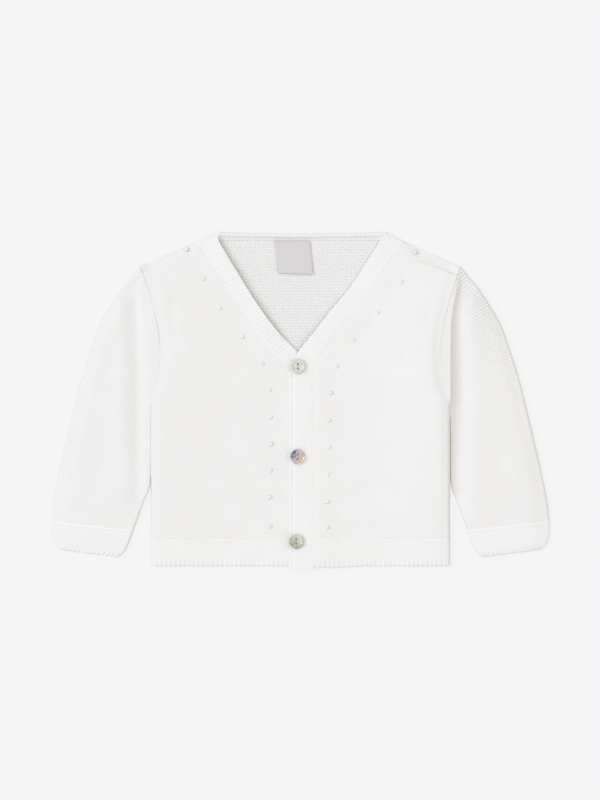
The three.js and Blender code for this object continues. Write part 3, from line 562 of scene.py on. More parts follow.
# Front panels
# Two panels in the same ridged knit, sewn to the back at the side and shoulder, to the sleeve at
# the armhole and to the band in front. They lie loosely on the back, puffed up towards the side.
BANDS = {  # free edge x and y, sewn edge x and y, from the hem up
    "right": np.array([
        (8.6, -124.6, -8.7, -124.6), (8.6, -10.0, -8.7, -10.0), (8.6, 13.0, -8.7, 12.0),
        (6.4, 25.0, -9.3, 19.5), (-1.9, 36.6, -13.2, 28.0), (-15.4, 50.1, -26.2, 41.3),
        (-30.4, 69.6, -42.2, 63.8), (-45.4, 93.2, -57.0, 86.8), (-60.8, 118.8, -74.6, 113.2),
    ]),
    "left": np.array([
        (-6.4, -127.3, 10.1, -126.4), (-6.4, -10.0, 10.1, -10.0), (-6.4, 14.0, 10.0, 12.5),
        (-5.2, 26.0, 10.6, 21.0), (-1.9, 36.6, 14.4, 31.0), (7.1, 47.8, 20.4, 40.4),
        (22.1, 67.3, 34.0, 59.4), (37.1, 85.3, 50.2, 77.6), (57.6, 116.8, 72.4, 110.8),
    ]),
}
BAND_STEPS = {side: np.linspace(rows[0, 1], rows[-1, 1], 4001) for side, rows in BANDS.items()}
BAND_CURVES = {side: rows_at(rows, 1, BAND_STEPS[side]) for side, rows in BANDS.items()}
PUFF = {  # height and rise beside the side edge
    "right": np.array([(-128, 0.6), (-105, 1.6), (-60, 3.0), (-5, 3.4), (45, 2.9), (80, 1.7), (106, 0.0)]),
    "left": np.array([(-128, 0.8), (-105, 2.6), (-60, 7.6), (-5, 9.4), (45, 8.2), (80, 4.4), (106, 0.0)]),
}
FRONT_FOLDS = [  # middle x and y, degrees from upright, length, width, depth
    (-96, 62, 4, 38, 7, -0.5), (-104, 84, 10, 26, 6, 0.3), (97, 66, -6, 34, 8, -0.4),
    (60, -30, -38, 60, 14, 0.6), (-58, -62, 24, 50, 12, 0.5),
]


def seam_x(side, y):
    """Distance from the middle of the band's sewn edge at a height."""
    return np.interp(y, BAND_CURVES[side][:, 3], np.abs(BAND_CURVES[side][:, 2]))


def overlap(side, y):
    """What the buttonhole band's extra layer lifts the wearer's left front beside it."""
    return LAYER * (1 - smooth(38, 75, y)) if side == "left" else np.zeros(np.shape(y))


def neck_slope(side, y):
    """How far the wearer's left front lies higher than the edge of the neck, beside the V."""
    return 1.5 * smooth(42, 62, y) * (1 - smooth(88, 108, y)) if side == "left" else np.zeros(np.shape(y))


def front_rise(side, x, y):
    """How far the front stands above its lowest place: puffed towards the side, with soft folds as
    bell curves, level beside the band except for the overlap's extra layer and the V's slope."""
    from_edge = np.maximum(0, edge_x(y) - np.abs(x))
    from_band = np.maximum(0, np.abs(x) - seam_x(side, y))
    puff = rows_at(PUFF[side], 0, y)[..., 1]
    puff = puff * (mix(1, 0.2, smooth(8, 62, from_edge)) - 0.2 * (1 - smooth(0, 9, from_edge)))
    total = np.zeros(np.shape(x))
    for at_x, at_y, turn, length, width, depth in FRONT_FOLDS:
        a = math.radians(turn)
        dx, dy = x - at_x, y - at_y
        across_fold = dx * math.cos(a) + dy * math.sin(a)
        along_fold = dy * math.cos(a) - dx * math.sin(a)
        total = total + depth * np.exp(-((across_fold / width) ** 2) - (along_fold / (length / 2)) ** 2)
    near = smooth(0, 26, from_band)
    folds = total * near * (1 - smooth(70, 100, y))
    beside_band = overlap(side, y) * (1 - smooth(2, 24, from_band)) + neck_slope(side, y) * (1 - near)
    return np.maximum(0, puff * near + folds) + beside_band


def front_top(side, x, y):
    """Height of the front's face, without its knit."""
    return LAYER + KNIT + front_rise(side, x, y)


def sleeve_leans(y):
    """1 where the wearer's right sleeve leans on the front's side and hides it, 0 below that."""
    return smooth(-66, -52, y)


def front_wall(side, x, y):
    """Outer and inner points of the front: it rolls over the body's side on a quarter ellipse, the
    inner face KNIT within the outer one."""
    edge = edge_x(y)
    roll = rolls_over(y) * (1 - sleeve_leans(y) * (side == "right"))
    from_edge = np.maximum(0, edge - np.abs(x))
    puffed = front_rise(side, x, y)
    outer_z = LAYER + (KNIT + puffed) * mix(1, rolled(from_edge / SIDE_ROLL[side]), roll)
    inner = inner_distance(from_edge, roll)
    inner_z = LAYER + puffed * mix(1, rolled((inner - KNIT) / (4.5 - KNIT)), roll)
    return outer_z, np.sign(x) * (edge - inner), inner_z


FRONT_CREASES = {  # path, width, depth: the small troughs and swells seen in this cloth
    "right": [
        ([(-97, 80), (-95.5, 64), (-96.5, 50), (-99, 34)], 3.2, -0.22),
        ([(-90, 78), (-88.5, 60), (-91, 42)], 4.2, 0.12),
        ([(-108, 96), (-104, 84), (-103, 70), (-102.5, 52)], 3.0, 0.15),
        ([(-60, 30), (-70, 12), (-86, -2)], 9.0, -0.25),
        ([(-98, -20), (-96, -52), (-99, -84)], 8.0, -0.22),
    ],
    "left": [
        ([(97, 84), (96, 64), (98, 44)], 4.0, -0.18),
        ([(103, 90), (102, 70), (101, 48)], 3.0, 0.12),
        ([(52, 18), (68, 2), (84, -20)], 9.0, -0.25),
        ([(95, -30), (97, -58), (94, -88)], 8.0, -0.22),
    ],
}
KNOTS = {  # places of the raised knots, from the shoulder down
    "right": [
        (-85.5, 113.8), (-73.1, 91.3), (-60.5, 69.3), (-43.9, 47.8), (-28.7, 27.9), (-23.3, 8.1),
        (-22.5, -12.2), (-22.1, -32.4), (-22.5, -52.2), (-23.1, -72.3), (-22.9, -94.3),
    ],
    "left": [
        (85.8, 111.5), (75.5, 89.3), (58.0, 66.2), (39.7, 45.6), (27.0, 25.9), (22.5, 6.0),
        (21.3, -14.4), (21.3, -34.7), (20.6, -54.9), (20.3, -75.5), (20.0, -95.0),
    ],
}
KNOT_WIDTH, KNOT_HEIGHT = 3.8, 1.15


def knot_ball(x, y, top, seed):
    """A bobble of a few stitches drawn together: a flattened ball whose radius has three slanting
    lobes, cos(3 turn + 2 height), closed under the cloth's face."""
    turn, rise = np.meshgrid(np.linspace(0, 2 * np.pi, 25)[:-1], np.linspace(0, np.pi / 2, 9))
    shift = np.random.default_rng(seed).uniform(0, 2 * np.pi)
    lobes = 1 + 0.10 * np.cos(3 * turn + 2.2 * rise + shift) * np.cos(rise)
    reach = KNOT_WIDTH / 2 * lobes * np.cos(rise) ** 0.8
    up = top - 0.5 + (KNOT_HEIGHT + 0.5) * np.sin(rise) * (1 + 0.12 * (lobes - 1))
    face = np.stack([x + reach * np.cos(turn), y + reach * np.sin(turn), up], -1)
    lining = face[::8, ::4].copy()
    lining[..., 2] -= 0.25
    lining[-1, :, 2] = top - 0.6
    return face, lining, np.stack([reach * np.cos(turn), reach * np.sin(turn) / 1.6], -1), True


front_wool = {"right": knit_wool("front_wool_right", loft=0.07, furrow_shade=0.34),
              "left": knit_wool("front_wool_left", loft=0.04, furrow_shade=0.2)}
knot_wool = knit_wool("knot_wool", stitch_width=1.5, loft=0.1, fuzz=0.07, furrow_shade=0.3)
for side, s in SIDES.items():
    at_x, at_y, fall = SHOULDER[side]
    bottom = HEM_TOP + SEWN
    highest = at_y - SEWN
    y_places = np.linspace(bottom, highest, 6 * round((highest - bottom) / RIDGE) + 1)
    start = seam_x(side, y_places) + SEWN
    end = np.minimum(edge_x(y_places) - SEWN, at_x + (at_y - SEWN - y_places) / fall)
    end = np.maximum(end, start + 0.05)
    x_shares = np.concatenate([np.linspace(0, 0.93, 61),
                               mix(0.93, 1, np.sin(np.linspace(0, np.pi / 2, 13)))[1:]])
    x = s * mix(start[:, None], end[:, None], x_shares)
    y = np.broadcast_to(y_places[:, None], x.shape)
    outer_z, inner_x, inner_z = front_wall(side, x, y)
    from_edge = edge_x(y) - np.abs(x)
    from_band = np.abs(x) - seam_x(side, y)
    from_seam = (shoulder_seam_y(side, x) - y) / FOLD_LENGTH
    from_rim = np.minimum(np.minimum(from_edge, from_band), from_seam)
    row = (y + drift(x, y, 13, 46, 0.45)) / RIDGE
    loose = (0.75 if side == "right" else 0.35) * (1 + drift(x, y, 14, 9, 0.5))
    relief = RIDGE_HEIGHT * loose * (ridges(row) - 0.75) * smooth(0.0, 2.0, from_rim)
    relief += drift(x, y, 11 if side == "left" else 12) * smooth(2, 14, from_rim)
    for path, width, depth in FRONT_CREASES[side]:
        relief += crease(path, width, depth, x, y) * smooth(0, 3, from_rim)
    welt = 0.24 * np.exp(-(((from_edge - 1.6) / 1.1) ** 2)) - 0.10 * np.exp(-(((from_edge - 3.9) / 0.9) ** 2))
    relief += welt * (smooth(20, 50, y) if side == "left" else 0.3 * smooth(4, 14, y))
    relief -= 0.06 * np.exp(-((from_band / 0.6) ** 2)) + 0.05 * np.exp(-((from_seam / 0.6) ** 2))
    near = smooth(0, 2, np.minimum(from_edge, from_band))
    relief -= 0.35 * np.exp(-(((y - bottom - 1.5) / 0.8) ** 2)) * near
    face = np.stack([x, y, np.maximum(outer_z + relief, inner_z + 0.8)], -1)
    lining = np.stack([inner_x, y, inner_z], -1)[::6, ::4]
    knit = np.stack([np.abs(x), row], -1)
    cloth(f"front_panel_{side}", [(face, lining, knit, False)], front_wool[side])
    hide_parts(f"front_{side}")
    balls = [
        knot_ball(kx, ky, LAYER + KNIT if i == 0 else float(front_top(side, np.array(kx), np.array(ky))), i)
        for i, (kx, ky) in enumerate(KNOTS[side])
    ]
    knots = cloth(f"knots_{side}", balls, knot_wool)


# Front hems
# The front halves of the hem, sewn under each front, their short ribs showing at the lower edge.
HEM_SAG = 1.3  # how far the hem of the wearer's left front hangs lower beside its band

for side, s in SIDES.items():
    inner_end = float(seam_x(side, np.array(HEM_TOP))) + SEWN
    x_shares = np.concatenate([np.linspace(0, 0.94, 161),
                               mix(0.94, 1, np.sin(np.linspace(0, np.pi / 2, 21)))[1:]])
    down = np.concatenate([np.linspace(0, 0.7, 25), np.linspace(0.7, 1, 25)[1:]])
    share_grid, down_grid = np.meshgrid(x_shares, down)
    level = mix(HEM_TOP, HEM_BOTTOM, down_grid)
    x = s * mix(inner_end, edge_x(level), share_grid)
    outer_z, inner_x, inner_z = front_wall(side, x, level)
    sag = HEM_SAG * (1 - smooth(10, 50, share_grid * SIDE_X)) * smooth(0, 0.4, down_grid) * (side == "left")
    teeth = 0.12 * np.cos(2 * np.pi * np.abs(x) / EDGE_RIB) * smooth(0.8, 1, down_grid)
    y = level - sag - teeth * smooth(0, 3, edge_x(level) - np.abs(x))
    fade = smooth(0, 3, edge_x(level) - np.abs(x))
    relief = hem_relief(level - HEM_BOTTOM, HEM_TOP - level, np.abs(x)) * fade
    relief += drift(x, y, 21, 30, 0.12) * fade
    face = np.stack([x, y, np.maximum(outer_z + relief, inner_z + 0.7)], -1)
    lining = np.stack([inner_x, y, inner_z], -1)[::4, ::4]
    hem = cloth(f"front_hem_{side}", [(face, lining, np.stack([np.abs(x), (HEM_TOP - level) / 1.7], -1),
                                       False)], rib_wool)
    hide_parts(f"hem_front_{side}")


# Front bands
# A band up each front edge, sewn on with a row of linking stitches. It is plain where the
# buttons sit, the wearer's left one on top, and ribbed square to its edge round the V neck.
V_RIB = 3.2  # pitch of the ribs round the neck
V_RIB_HEIGHT = 0.32
LINK = 3.2  # from one linking stitch to the next
NECK_LIFT = {"right": 3.2, "left": 0.4}  # how far the free edge of the neckline stands up
V_START = 30.0

# The plain knit is painted lighter than the ridged knit, as it has fewer shaded furrows.
band_wool = knit_wool("band_wool", stitch_width=1.6, loft=0.03, fuzz=0.04, furrow_shade=0.2, wool=WOOL_PLAIN_PAINTED_LIGHT)
for side, s in SIDES.items():
    table_rows = BANDS[side]
    dense = BAND_CURVES[side]
    length = np.concatenate([[0], np.cumsum(np.hypot(*np.diff(dense[:, :2], axis=0).T))])
    count = 4 * round(length[-1] / 0.5 / 4)
    travel = np.linspace(0, length[-1], count + 1)
    row = rows_at(table_rows, 1, np.interp(travel, length, BAND_STEPS[side]))
    neck_x, neck_y, sewn_x, sewn_y = (row[:, k][:, None] for k in range(4))
    shares = np.concatenate([0.1 * (1 - np.cos(np.linspace(0, np.pi / 2, 7))), np.linspace(0.1, 0.88, 19)[1:],
                             np.linspace(0.88, 1, 9)[1:]])
    x = mix(neck_x, sewn_x, shares)
    y = mix(neck_y, sewn_y, shares)
    width = np.hypot(neck_x - sewn_x, neck_y - sewn_y)
    from_free = shares * width
    from_sewn = (1 - shares) * width
    base = LAYER + overlap(side, sewn_y)
    low = base + NECK_LIFT[side] * smooth(38, 60, neck_y) * (1 - shares) + neck_slope(side, sewn_y) * shares
    ribbed = smooth(34, 44, neck_y)
    at_v = np.interp(V_START, row[:, 1], travel)
    phase = (travel[:, None] - at_v) / V_RIB
    rib = (0.5 - 0.5 * np.cos(2 * np.pi * phase)) ** 0.8
    rib = rib * smooth(1.2, 6.0, from_free) * smooth(0.8, 2.2, from_sewn)
    top = low + KNIT - 0.55 * (1 - rolled(from_free / 1.5)) - 0.04 * (1 - rolled(from_sewn / 0.6))
    plain = 1 - ribbed
    top = top - 0.55 * (plain if side == "right" else 1) * (1 - smooth(0, 3.2, from_free))
    links = (0.5 + 0.5 * np.cos(2 * np.pi * travel[:, None] / LINK)) ** 1.5
    if side == "right":
        top = top - mix(0.10, 0.30, links) * ribbed * np.exp(-(((from_sewn - 0.7) / 0.55) ** 2))
        top = top + mix(0.1, 0.42, links) * plain * np.exp(-(((from_sewn - 1.8) / 0.65) ** 2))
    else:
        top = top - mix(0.10, 0.30 + 0.35 * plain, links) * np.exp(-(((from_sewn - 0.7) / 0.55) ** 2))
    top = top + ribbed * (V_RIB_HEIGHT * rib - 0.05) + 0.10 * (1 - ribbed) * (ridges(y / 3.4) - 0.5)
    top = top - 0.35 * (1 - smooth(0, 1.2, neck_y - table_rows[0, 1]))
    top = top + drift(x, y, 31, 26, 0.07)
    face = np.stack([x, y, np.broadcast_to(top, x.shape)], -1)
    lining = np.stack([x, y, np.broadcast_to(low, x.shape)], -1)[::4, ::4]
    knit = np.stack([np.broadcast_to(travel[:, None], x.shape), from_free / 1.8 * np.ones_like(x)], -1)
    cloth(f"front_band_{side}", [(face, lining, knit, False)], band_wool)
    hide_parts(f"band_{side}")


# Back neckband
# The band goes on round the back of the neck, doubled over, and comes down over each shoulder to
# meet the front bands. Its ribs follow it.
NECK_DEPTH = 5.3
NECK_HEIGHT = 4.6
NECK_HALF = 61.6
NECK_TOP = 127.3

along = np.linspace(-NECK_HALF, NECK_HALF, 241)[:, None]
t = (along + NECK_HALF) / (2 * NECK_HALF)
dip = 1.4 * np.sin(np.pi * t) ** 0.5
turn = np.radians(np.linspace(-90, 90, 25))
ribs = (0.5 + 0.5 * np.cos(2 * np.pi * along / V_RIB)) ** 0.8
round_the_edge = np.cos(turn)
sheets = []
for reach, half, outer in ((NECK_DEPTH, NECK_HEIGHT / 2, True), (NECK_DEPTH - 2.1, GAP / 2, False)):
    flat = np.linspace(0, 1, 13)[:-1]
    round_off = half if outer else 0.3
    bend_x = reach - round_off + round_off * round_the_edge
    low_y, high_y = flat * bend_x[0], (flat * bend_x[-1])[::-1]
    depth = np.concatenate([low_y, bend_x, high_y])
    level = np.concatenate([np.full(12, -half), half * np.sin(turn), np.full(12, half)]) + NECK_HEIGHT / 2
    lift = V_RIB_HEIGHT * ribs * smooth(0.6, 2.0, depth) * outer
    none = np.zeros_like(flat)
    y = BACK_NECK + SEWN + depth * 1.05 + lift * np.concatenate([none, round_the_edge, none])
    y = y - (dip - 0.6) * smooth(0.5, 2.5, depth)
    over = np.concatenate([none, np.maximum(0, np.sin(turn)), none + 1])
    taper = (2.1 if outer else 0.25) * (1 - smooth(0, 4.2, depth))
    z = level + lift * over * smooth(0.5, 3, depth)
    z = z - taper * np.concatenate([none, np.zeros_like(turn), none + 1])
    x = np.broadcast_to(along, y.shape)
    sheets.append(np.stack([x, y, z], -1))
knit = np.stack([sheets[0][..., 0], np.broadcast_to(np.arange(49) * 0.25, sheets[0].shape[:2])], -1)
neck_sheets = [(sheets[0], sheets[1][::4, ::4], knit, False)]
for side, s in SIDES.items():
    top = BANDS[side][-1]
    seam_there = abs(top[2])
    fold_start = seam_there + strip_depth(side, seam_there + 3) * FOLD_FALL / FOLD_LENGTH
    low_neck, low_seam = (abs(top[0]), top[1] + SEWN), (abs(top[2]), top[3] + SEWN)
    high_neck = (NECK_HALF + 1.2, NECK_TOP if side == "left" else NECK_TOP - 1.2)
    high_seam = (fold_start - SEWN, float(fold_y(fold_start)))
    u, v = np.meshgrid(np.linspace(0, 1, 33), np.linspace(0, 1, 33))
    low = [mix(low_neck[k], low_seam[k], u) for k in (0, 1)]
    high = [mix(high_neck[k], high_seam[k], u) for k in (0, 1)]
    x, y = mix(low[0], high[0], v), mix(low[1], high[1], v)
    lift = NECK_LIFT[side] * (1 - u) * (1 - v)
    crown = 2 * KNIT + GAP + 0.2 * smooth(0, 0.72, v)
    top_z = mix(crown, LAYER + 0.7, 1 - rolled((1 - v) / 0.42))
    span = math.hypot(low_seam[0] - low_neck[0], low_seam[1] - low_neck[1])
    rib = (0.5 - 0.5 * np.cos(2 * np.pi * (u * span * 0.45 + v * 8.5) / V_RIB)) ** 0.8
    rim = smooth(0, 0.1, u) * smooth(0, 0.08, 1 - u)
    top_z = top_z + lift + (V_RIB_HEIGHT * rib - 0.25) * rim * smooth(0, 0.1, v) * (1 - smooth(0.8, 0.97, v))
    top_z -= 0.4 * (1 - rolled(u / 0.12)) + 0.1 * (1 - rolled((1 - u) / 0.1))
    face = np.stack([s * x, y, np.maximum(top_z, LAYER + 0.6)], -1)
    lining = np.stack([s * x, y, LAYER + lift * 0.9], -1)[::4, ::4]
    neck_sheets.append((face, lining, np.stack([u * 9, v * 5], -1), False))
neckband = cloth("back_neckband", neck_sheets, band_wool)
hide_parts("neckband_back")


# Sleeves
# Each sleeve is one piece, folded along its outer edge and seamed underneath, set into the armhole
# with a flat cap. It lies beside the body, pressed down in a long valley next to it. Its ridges
# run square to the folded edge, so they fan out from the shoulder down to the wrist.
SLEEVE_KNIT = 1.8
SLEEVE = np.array([  # at, outer edge x and y, seam x and y, full height, height in the valley
    (0.0, 120.0, 101.0, 112.4, 1.5, 5.4, 5.0), (1.0, 127.5, 92.0, 112.25, -3.0, 6.4, 4.4),
    (2.0, 135.0, 82.6, 112.25, -8.0, 7.0, 4.0), (3.0, 142.8, 70.4, 112.25, -13.5, 7.2, 3.9),
    (4.0, 150.0, 58.2, 112.25, -20.0, 7.2, 3.9), (5.0, 157.0, 39.0, 112.25, -29.0, 7.2, 3.9),
    (6.0, 163.6, 18.6, 112.25, -38.0, 7.2, 3.9), (7.0, 170.4, -8.0, 112.25, -50.0, 7.0, 3.9),
    (8.0, 176.6, -34.0, 112.9, -64.0, 6.8, 4.0), (9.0, 181.2, -55.0, 117.0, -75.0, 6.4, 4.4),
    (10.0, 185.2, -75.0, 121.0, -86.5, 5.8, 4.8), (11.0, 187.1, -90.5, 124.9, -97.0, 5.2, 5.0),
])
CUFF = np.array([
    (0.0, 187.1, -90.52, 124.9, -97.02, 5.2, 5.0), (1.0, 187.1, -99.5, 128.2, -106.0, 5.0, 4.8),
    (2.0, 184.9, -107.6, 131.6, -112.8, 4.7, 4.5), (3.0, 181.4, -111.9, 136.2, -117.5, 4.2, 4.1),
])
ROLL_OUTER, ROLL_UNDER, SEAM_LEVEL = 2.6, 1.9, 1.95
SLEEVE_RIDGE = 2.7  # from one ridge to the next at the shoulder
SLEEVE_TIGHTER = 0.0006  # by how much more ridges there are to a millimetre, each millimetre down
SHELF = {  # height, how far out the flat cap reaches, and the slope beyond it: its width and foot
    "right": np.array([(-98, 113.0, 10.5, 4.9), (-60, 112.8, 11.0, 5.0), (0, 112.8, 11.0, 5.0),
                       (23, 112.9, 10.5, 4.7), (53, 115.6, 8.0, 4.4), (75.6, 118.9, 5.0, 4.7),
                       (90, 119.4, 3.0, 4.9), (101, 119.0, 3.0, 5.2)]),
    "left": np.array([(-98, 112.6, 3.0, 3.8), (-60, 112.4, 2.6, 3.7), (0, 112.0, 2.2, 3.7),
                      (30, 112.0, 2.0, 3.7), (56, 112.5, 2.4, 3.7), (68, 113.8, 3.0, 4.0),
                      (86.8, 117.2, 3.5, 4.9), (101, 119.4, 3.0, 5.4)]),
}
SLEEVE_CREASES = {  # path, width, depth: troughs and swells, given over the wearer's left sleeve
    "right": [([(131, 62), (137, 38), (146, 10)], 6.0, -0.3),
              ([(150, -30), (152, -58), (156, -84)], 7.0, -0.3)],
    "left": [([(134, 58), (142, 30), (150, 4)], 6.0, -0.3),
             ([(148, -34), (154, -60), (155, -86)], 7.0, -0.3)],
}


def sleeve_place(stations, share, at):
    """A place on the sleeve: share of the way from its seam to its outer edge, and how far down.
    At the top it bows in with the armhole, ARM_BOW sin(pi share^0.8), fading out by the fourth row."""
    row = rows_at(stations, 0, at)
    bow, clear = 0.0, 0.0
    if stations is SLEEVE:
        bow = ARM_BOW * (1 - smooth(0, 4, at)) * np.sin(np.pi * share**0.8)
        clear = mix(SEWN, GAP / 2, smooth(0, 0.4, at))
    width = np.hypot(row[..., 1] - row[..., 3], row[..., 2] - row[..., 4])
    x = mix(row[..., 3], row[..., 1], share) - bow + clear
    return x, mix(row[..., 4], row[..., 2], share), width, row


def sleeve_face(side, stations, share, at):
    """Height of the upper face. At the seam it is level with the front it is sewn to. Past the
    shelf's edge a smoothstep, down, takes it to the foot of a valley, and another, up, from there
    to its full height with a low swell on it. It falls 1.5 mm to the folded edge, and rolls down
    on quarter ellipses there and at the seam."""
    x, y, width, row = sleeve_place(stations, share, at)
    from_seam, from_fold = share * width, (1 - share) * width
    roll_inner = mix(2.4, 0.5 if side == "right" else 0.8, smooth(-92, -66, y))
    roll_outer = mix(2.3, ROLL_OUTER, smooth(0, 1.5, at)) if stations is SLEEVE else ROLL_OUTER
    edge = np.minimum(rolled(from_seam / roll_inner), rolled(from_fold / roll_outer))
    shelf = rows_at(SHELF[side], 0, y)
    past = x - shelf[..., 1]
    beside_top = front_top(side, SIDES[side] * x, y)
    level = mix(beside_top + 0.4 if side == "right" else 3.9, beside_top, smooth(-9, 2.5, y))
    down = smooth(0, 1, past / shelf[..., 2])
    if side == "right":
        beyond = past - mix(3.4, 0.29 * shelf[..., 2], smooth(20, 60, y))
        up = smooth(0, 22, beyond)
    else:
        beyond = past - mix(6.0, 3.6, smooth(30, 75, y))
        up = 0.85 * smooth(0, 11, beyond) + 0.15 * smooth(6, 30, beyond)
    swell = np.exp(-(((beyond - 11) / 10) ** 2)) * smooth(0, 2, at) * smooth(-88, -60, y)
    full = row[..., 5] + {"right": 1.9, "left": 1.5}[side] * swell
    free_wrist = 1 - smooth(-80, -64, y)
    foot = mix(shelf[..., 3], row[..., 6], free_wrist)
    height = mix(mix(level, foot, np.maximum(down, free_wrist)), full, up)
    height = mix(beside_top, height, smooth(0, 0.12, at) if stations is SLEEVE else 1.0)
    fading_in = smooth(0, 2, at) if stations is SLEEVE else 1.0
    height = height - 1.5 * (1 - smooth(0, 13, from_fold)) * fading_in
    lowest = SEAM_LEVEL
    if side == "right":
        lowest = mix(SEAM_LEVEL, beside_top - 0.1, sleeve_leans(y) * (share < 0.5) * (stations is SLEEVE))
    return lowest + (height - lowest) * edge


def fan_phase(x, y):
    """How many ridges down the sleeve a place is, and how far in from the outer edge: both taken at
    the nearest point of the cubic that follows the edge, carried on straight past its two ends."""
    edge = rows_at(SLEEVE, 0, np.linspace(0, 11, 441))[:, 1:3]
    length = np.concatenate([[0], np.cumsum(np.hypot(*np.diff(edge, axis=0).T))])
    edge = np.stack([np.polyval(np.polyfit(length, edge[:, k], 3), length) for k in (0, 1)], -1)
    first, last = edge[0] - edge[8], edge[-1] - edge[-9]
    steps = np.arange(1, 61)[:, None]
    edge = np.concatenate([edge[0] + first / np.hypot(*first) * steps[::-1], edge,
                           edge[-1] + last / np.hypot(*last) * steps])
    length = np.concatenate([[0], np.cumsum(np.hypot(*np.diff(edge, axis=0).T))])
    travel, away = np.empty(x.shape), np.empty(x.shape)
    for k in range(x.shape[0]):
        gap = np.hypot(x[k][:, None] - edge[:, 0], y[k][:, None] - edge[:, 1])
        i = np.clip(gap.argmin(1), 1, len(edge) - 2)
        tangent = edge[i + 1] - edge[i - 1]
        tangent = tangent / np.hypot(tangent[:, 0], tangent[:, 1])[:, None]
        travel[k] = length[i] + (x[k] - edge[i, 0]) * tangent[:, 0] + (y[k] - edge[i, 1]) * tangent[:, 1]
        away[k] = gap.min(1)
    return (travel + SLEEVE_TIGHTER * travel**2) / SLEEVE_RIDGE, away


def tube_shares(over_steps, under_steps):
    """Shares across the tube: over the top from the seam to the outer edge, closer at both ends,
    and back underneath."""
    over = np.linspace(0, 1, over_steps + 1)
    over = mix(over, 0.5 - 0.5 * np.cos(np.pi * over), 0.55)
    under = (0.5 + 0.5 * np.cos(np.pi * np.linspace(0, 1, under_steps + 1)))[1:-1]
    return np.concatenate([over, under]), np.arange(len(over) + len(under)) <= over_steps


def tube(side, stations, down, over_steps, under_steps, inset):
    """Points round the sleeve or cuff at each place down it. inset is 0 for the face, and the
    cloth's thickness for the lining. Also gives the shares, which are on top, and the width."""
    shares, on_top = tube_shares(over_steps, under_steps)
    share, at = np.meshgrid(shares, down)
    width = sleeve_place(stations, 0 * share, at)[2]
    moved = mix(inset / width, 1 - inset / width, share)
    x, y, width, _ = sleeve_place(stations, moved, at)
    near = np.minimum(moved, 1 - moved) * width
    upper = sleeve_face(side, stations, moved, at) - inset
    lower = SEAM_LEVEL * (1 - rolled(near / ROLL_UNDER)) + inset
    z = np.where(on_top, upper, lower)
    z = np.where((share == 1) | ((share == 0) & (inset > 0)), SEAM_LEVEL, z)
    return x, y, z, share, on_top, width, at


# The painted shade in the furrows is twice as strong on the wearer's left sleeve as on the right.
sleeve_wool = {
    "right": knit_wool("sleeve_wool_right", stitch_width=2.1, loft=0.12, furrow_shade=0.25, loops=0.3),
    "left": knit_wool("sleeve_wool_left", stitch_width=2.1, loft=0.48, furrow_shade=0.5, loops=0.18,
                      fades=[("Y", 4.0, 52.0, 0.25), ("X", 12.0, 29.0, 0.2)]),
}
for side, s in SIDES.items():
    down = np.concatenate([np.linspace(0.01, 0.66, 17), np.linspace(0.66, 11, 361)[1:]])
    x, y, z, share, on_top, width, at = tube(side, SLEEVE, down, 120, 24, 0.0)
    phase, away = fan_phase(x, y)
    from_seam, from_edge = share * width, (1 - share) * width
    open_face = on_top * smooth(0, 3, from_seam) * smooth(0, 3.5, from_edge) * smooth(0, 0.06, at)
    if side == "right":
        ridge_height = mix(0.06, 0.09, smooth(1, 6, at))
    else:
        ridge_height = mix(0.5, 0.08, smooth(1, 9, at)) * mix(1, 0.15, smooth(12, 31, away))
    relief = ridge_height * (ridges(phase) - 0.7) * on_top * smooth(0, 1.5, np.minimum(from_seam, from_edge))
    relief -= 0.3 * np.exp(-(((11 - at) * 16 - 1.4) ** 2) / 0.7) * open_face
    for path, crease_width, depth in SLEEVE_CREASES[side]:
        relief += crease(path, crease_width, depth, x, y) * open_face
    relief += drift(x, y, 41 if side == "left" else 42, 38, 0.2) * open_face
    face = np.stack([s * x, y, z + relief], -1)
    lx, ly, lz, *_ = tube(side, SLEEVE, down[::4], 30, 6, SLEEVE_KNIT)
    lining = np.stack([s * lx, ly, lz], -1)
    knit = np.stack([away, phase], -1)
    sleeve = cloth(f"sleeve_piece_{side}", [(face, lining, knit, True)], sleeve_wool[side])
    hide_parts(f"sleeve_{side}")


# Cuffs
# The wrist of each sleeve: a purl ridge, a plain band, and short ribs along the edge.
for side, s in SIDES.items():
    down = np.linspace(0, 3, 41)
    x, y, z, share, on_top, width, at = tube(side, CUFF, down, 144, 24, 0.0)
    along = share * width
    rim = smooth(0, 3, along) * smooth(0, 3.5, width - along)
    reach = 21.5 * (1 - at / 3)
    relief = hem_relief(reach, 21.5 - reach, along, 1.2 if side == "right" else 1.7) * on_top * rim
    y = y - 0.12 * np.cos(2 * np.pi * along / EDGE_RIB) * smooth(2.4, 3, at) * on_top * rim
    face = np.stack([s * x, y, z + relief], -1)
    lx, ly, lz, *_ = tube(side, CUFF, down[::4], 36, 6, SLEEVE_KNIT)
    lining = np.stack([s * lx, ly, lz], -1)
    cuff = cloth(f"cuff_piece_{side}", [(face, lining, np.stack([along, (21.5 - reach) / 1.7], -1), True)],
                 rib_wool)
    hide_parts(f"cuff_{side}")


# Label
# A folded satin tape sewn in at the back of the neck, its face left bare.
LABEL_TOP, LABEL_BOTTOM = 119.6, 95.6
LABEL_TOP_X, LABEL_BOTTOM_X, LABEL_WIDTH, LABEL_THICK = -19.6, -16.8, 26.6, 1.0

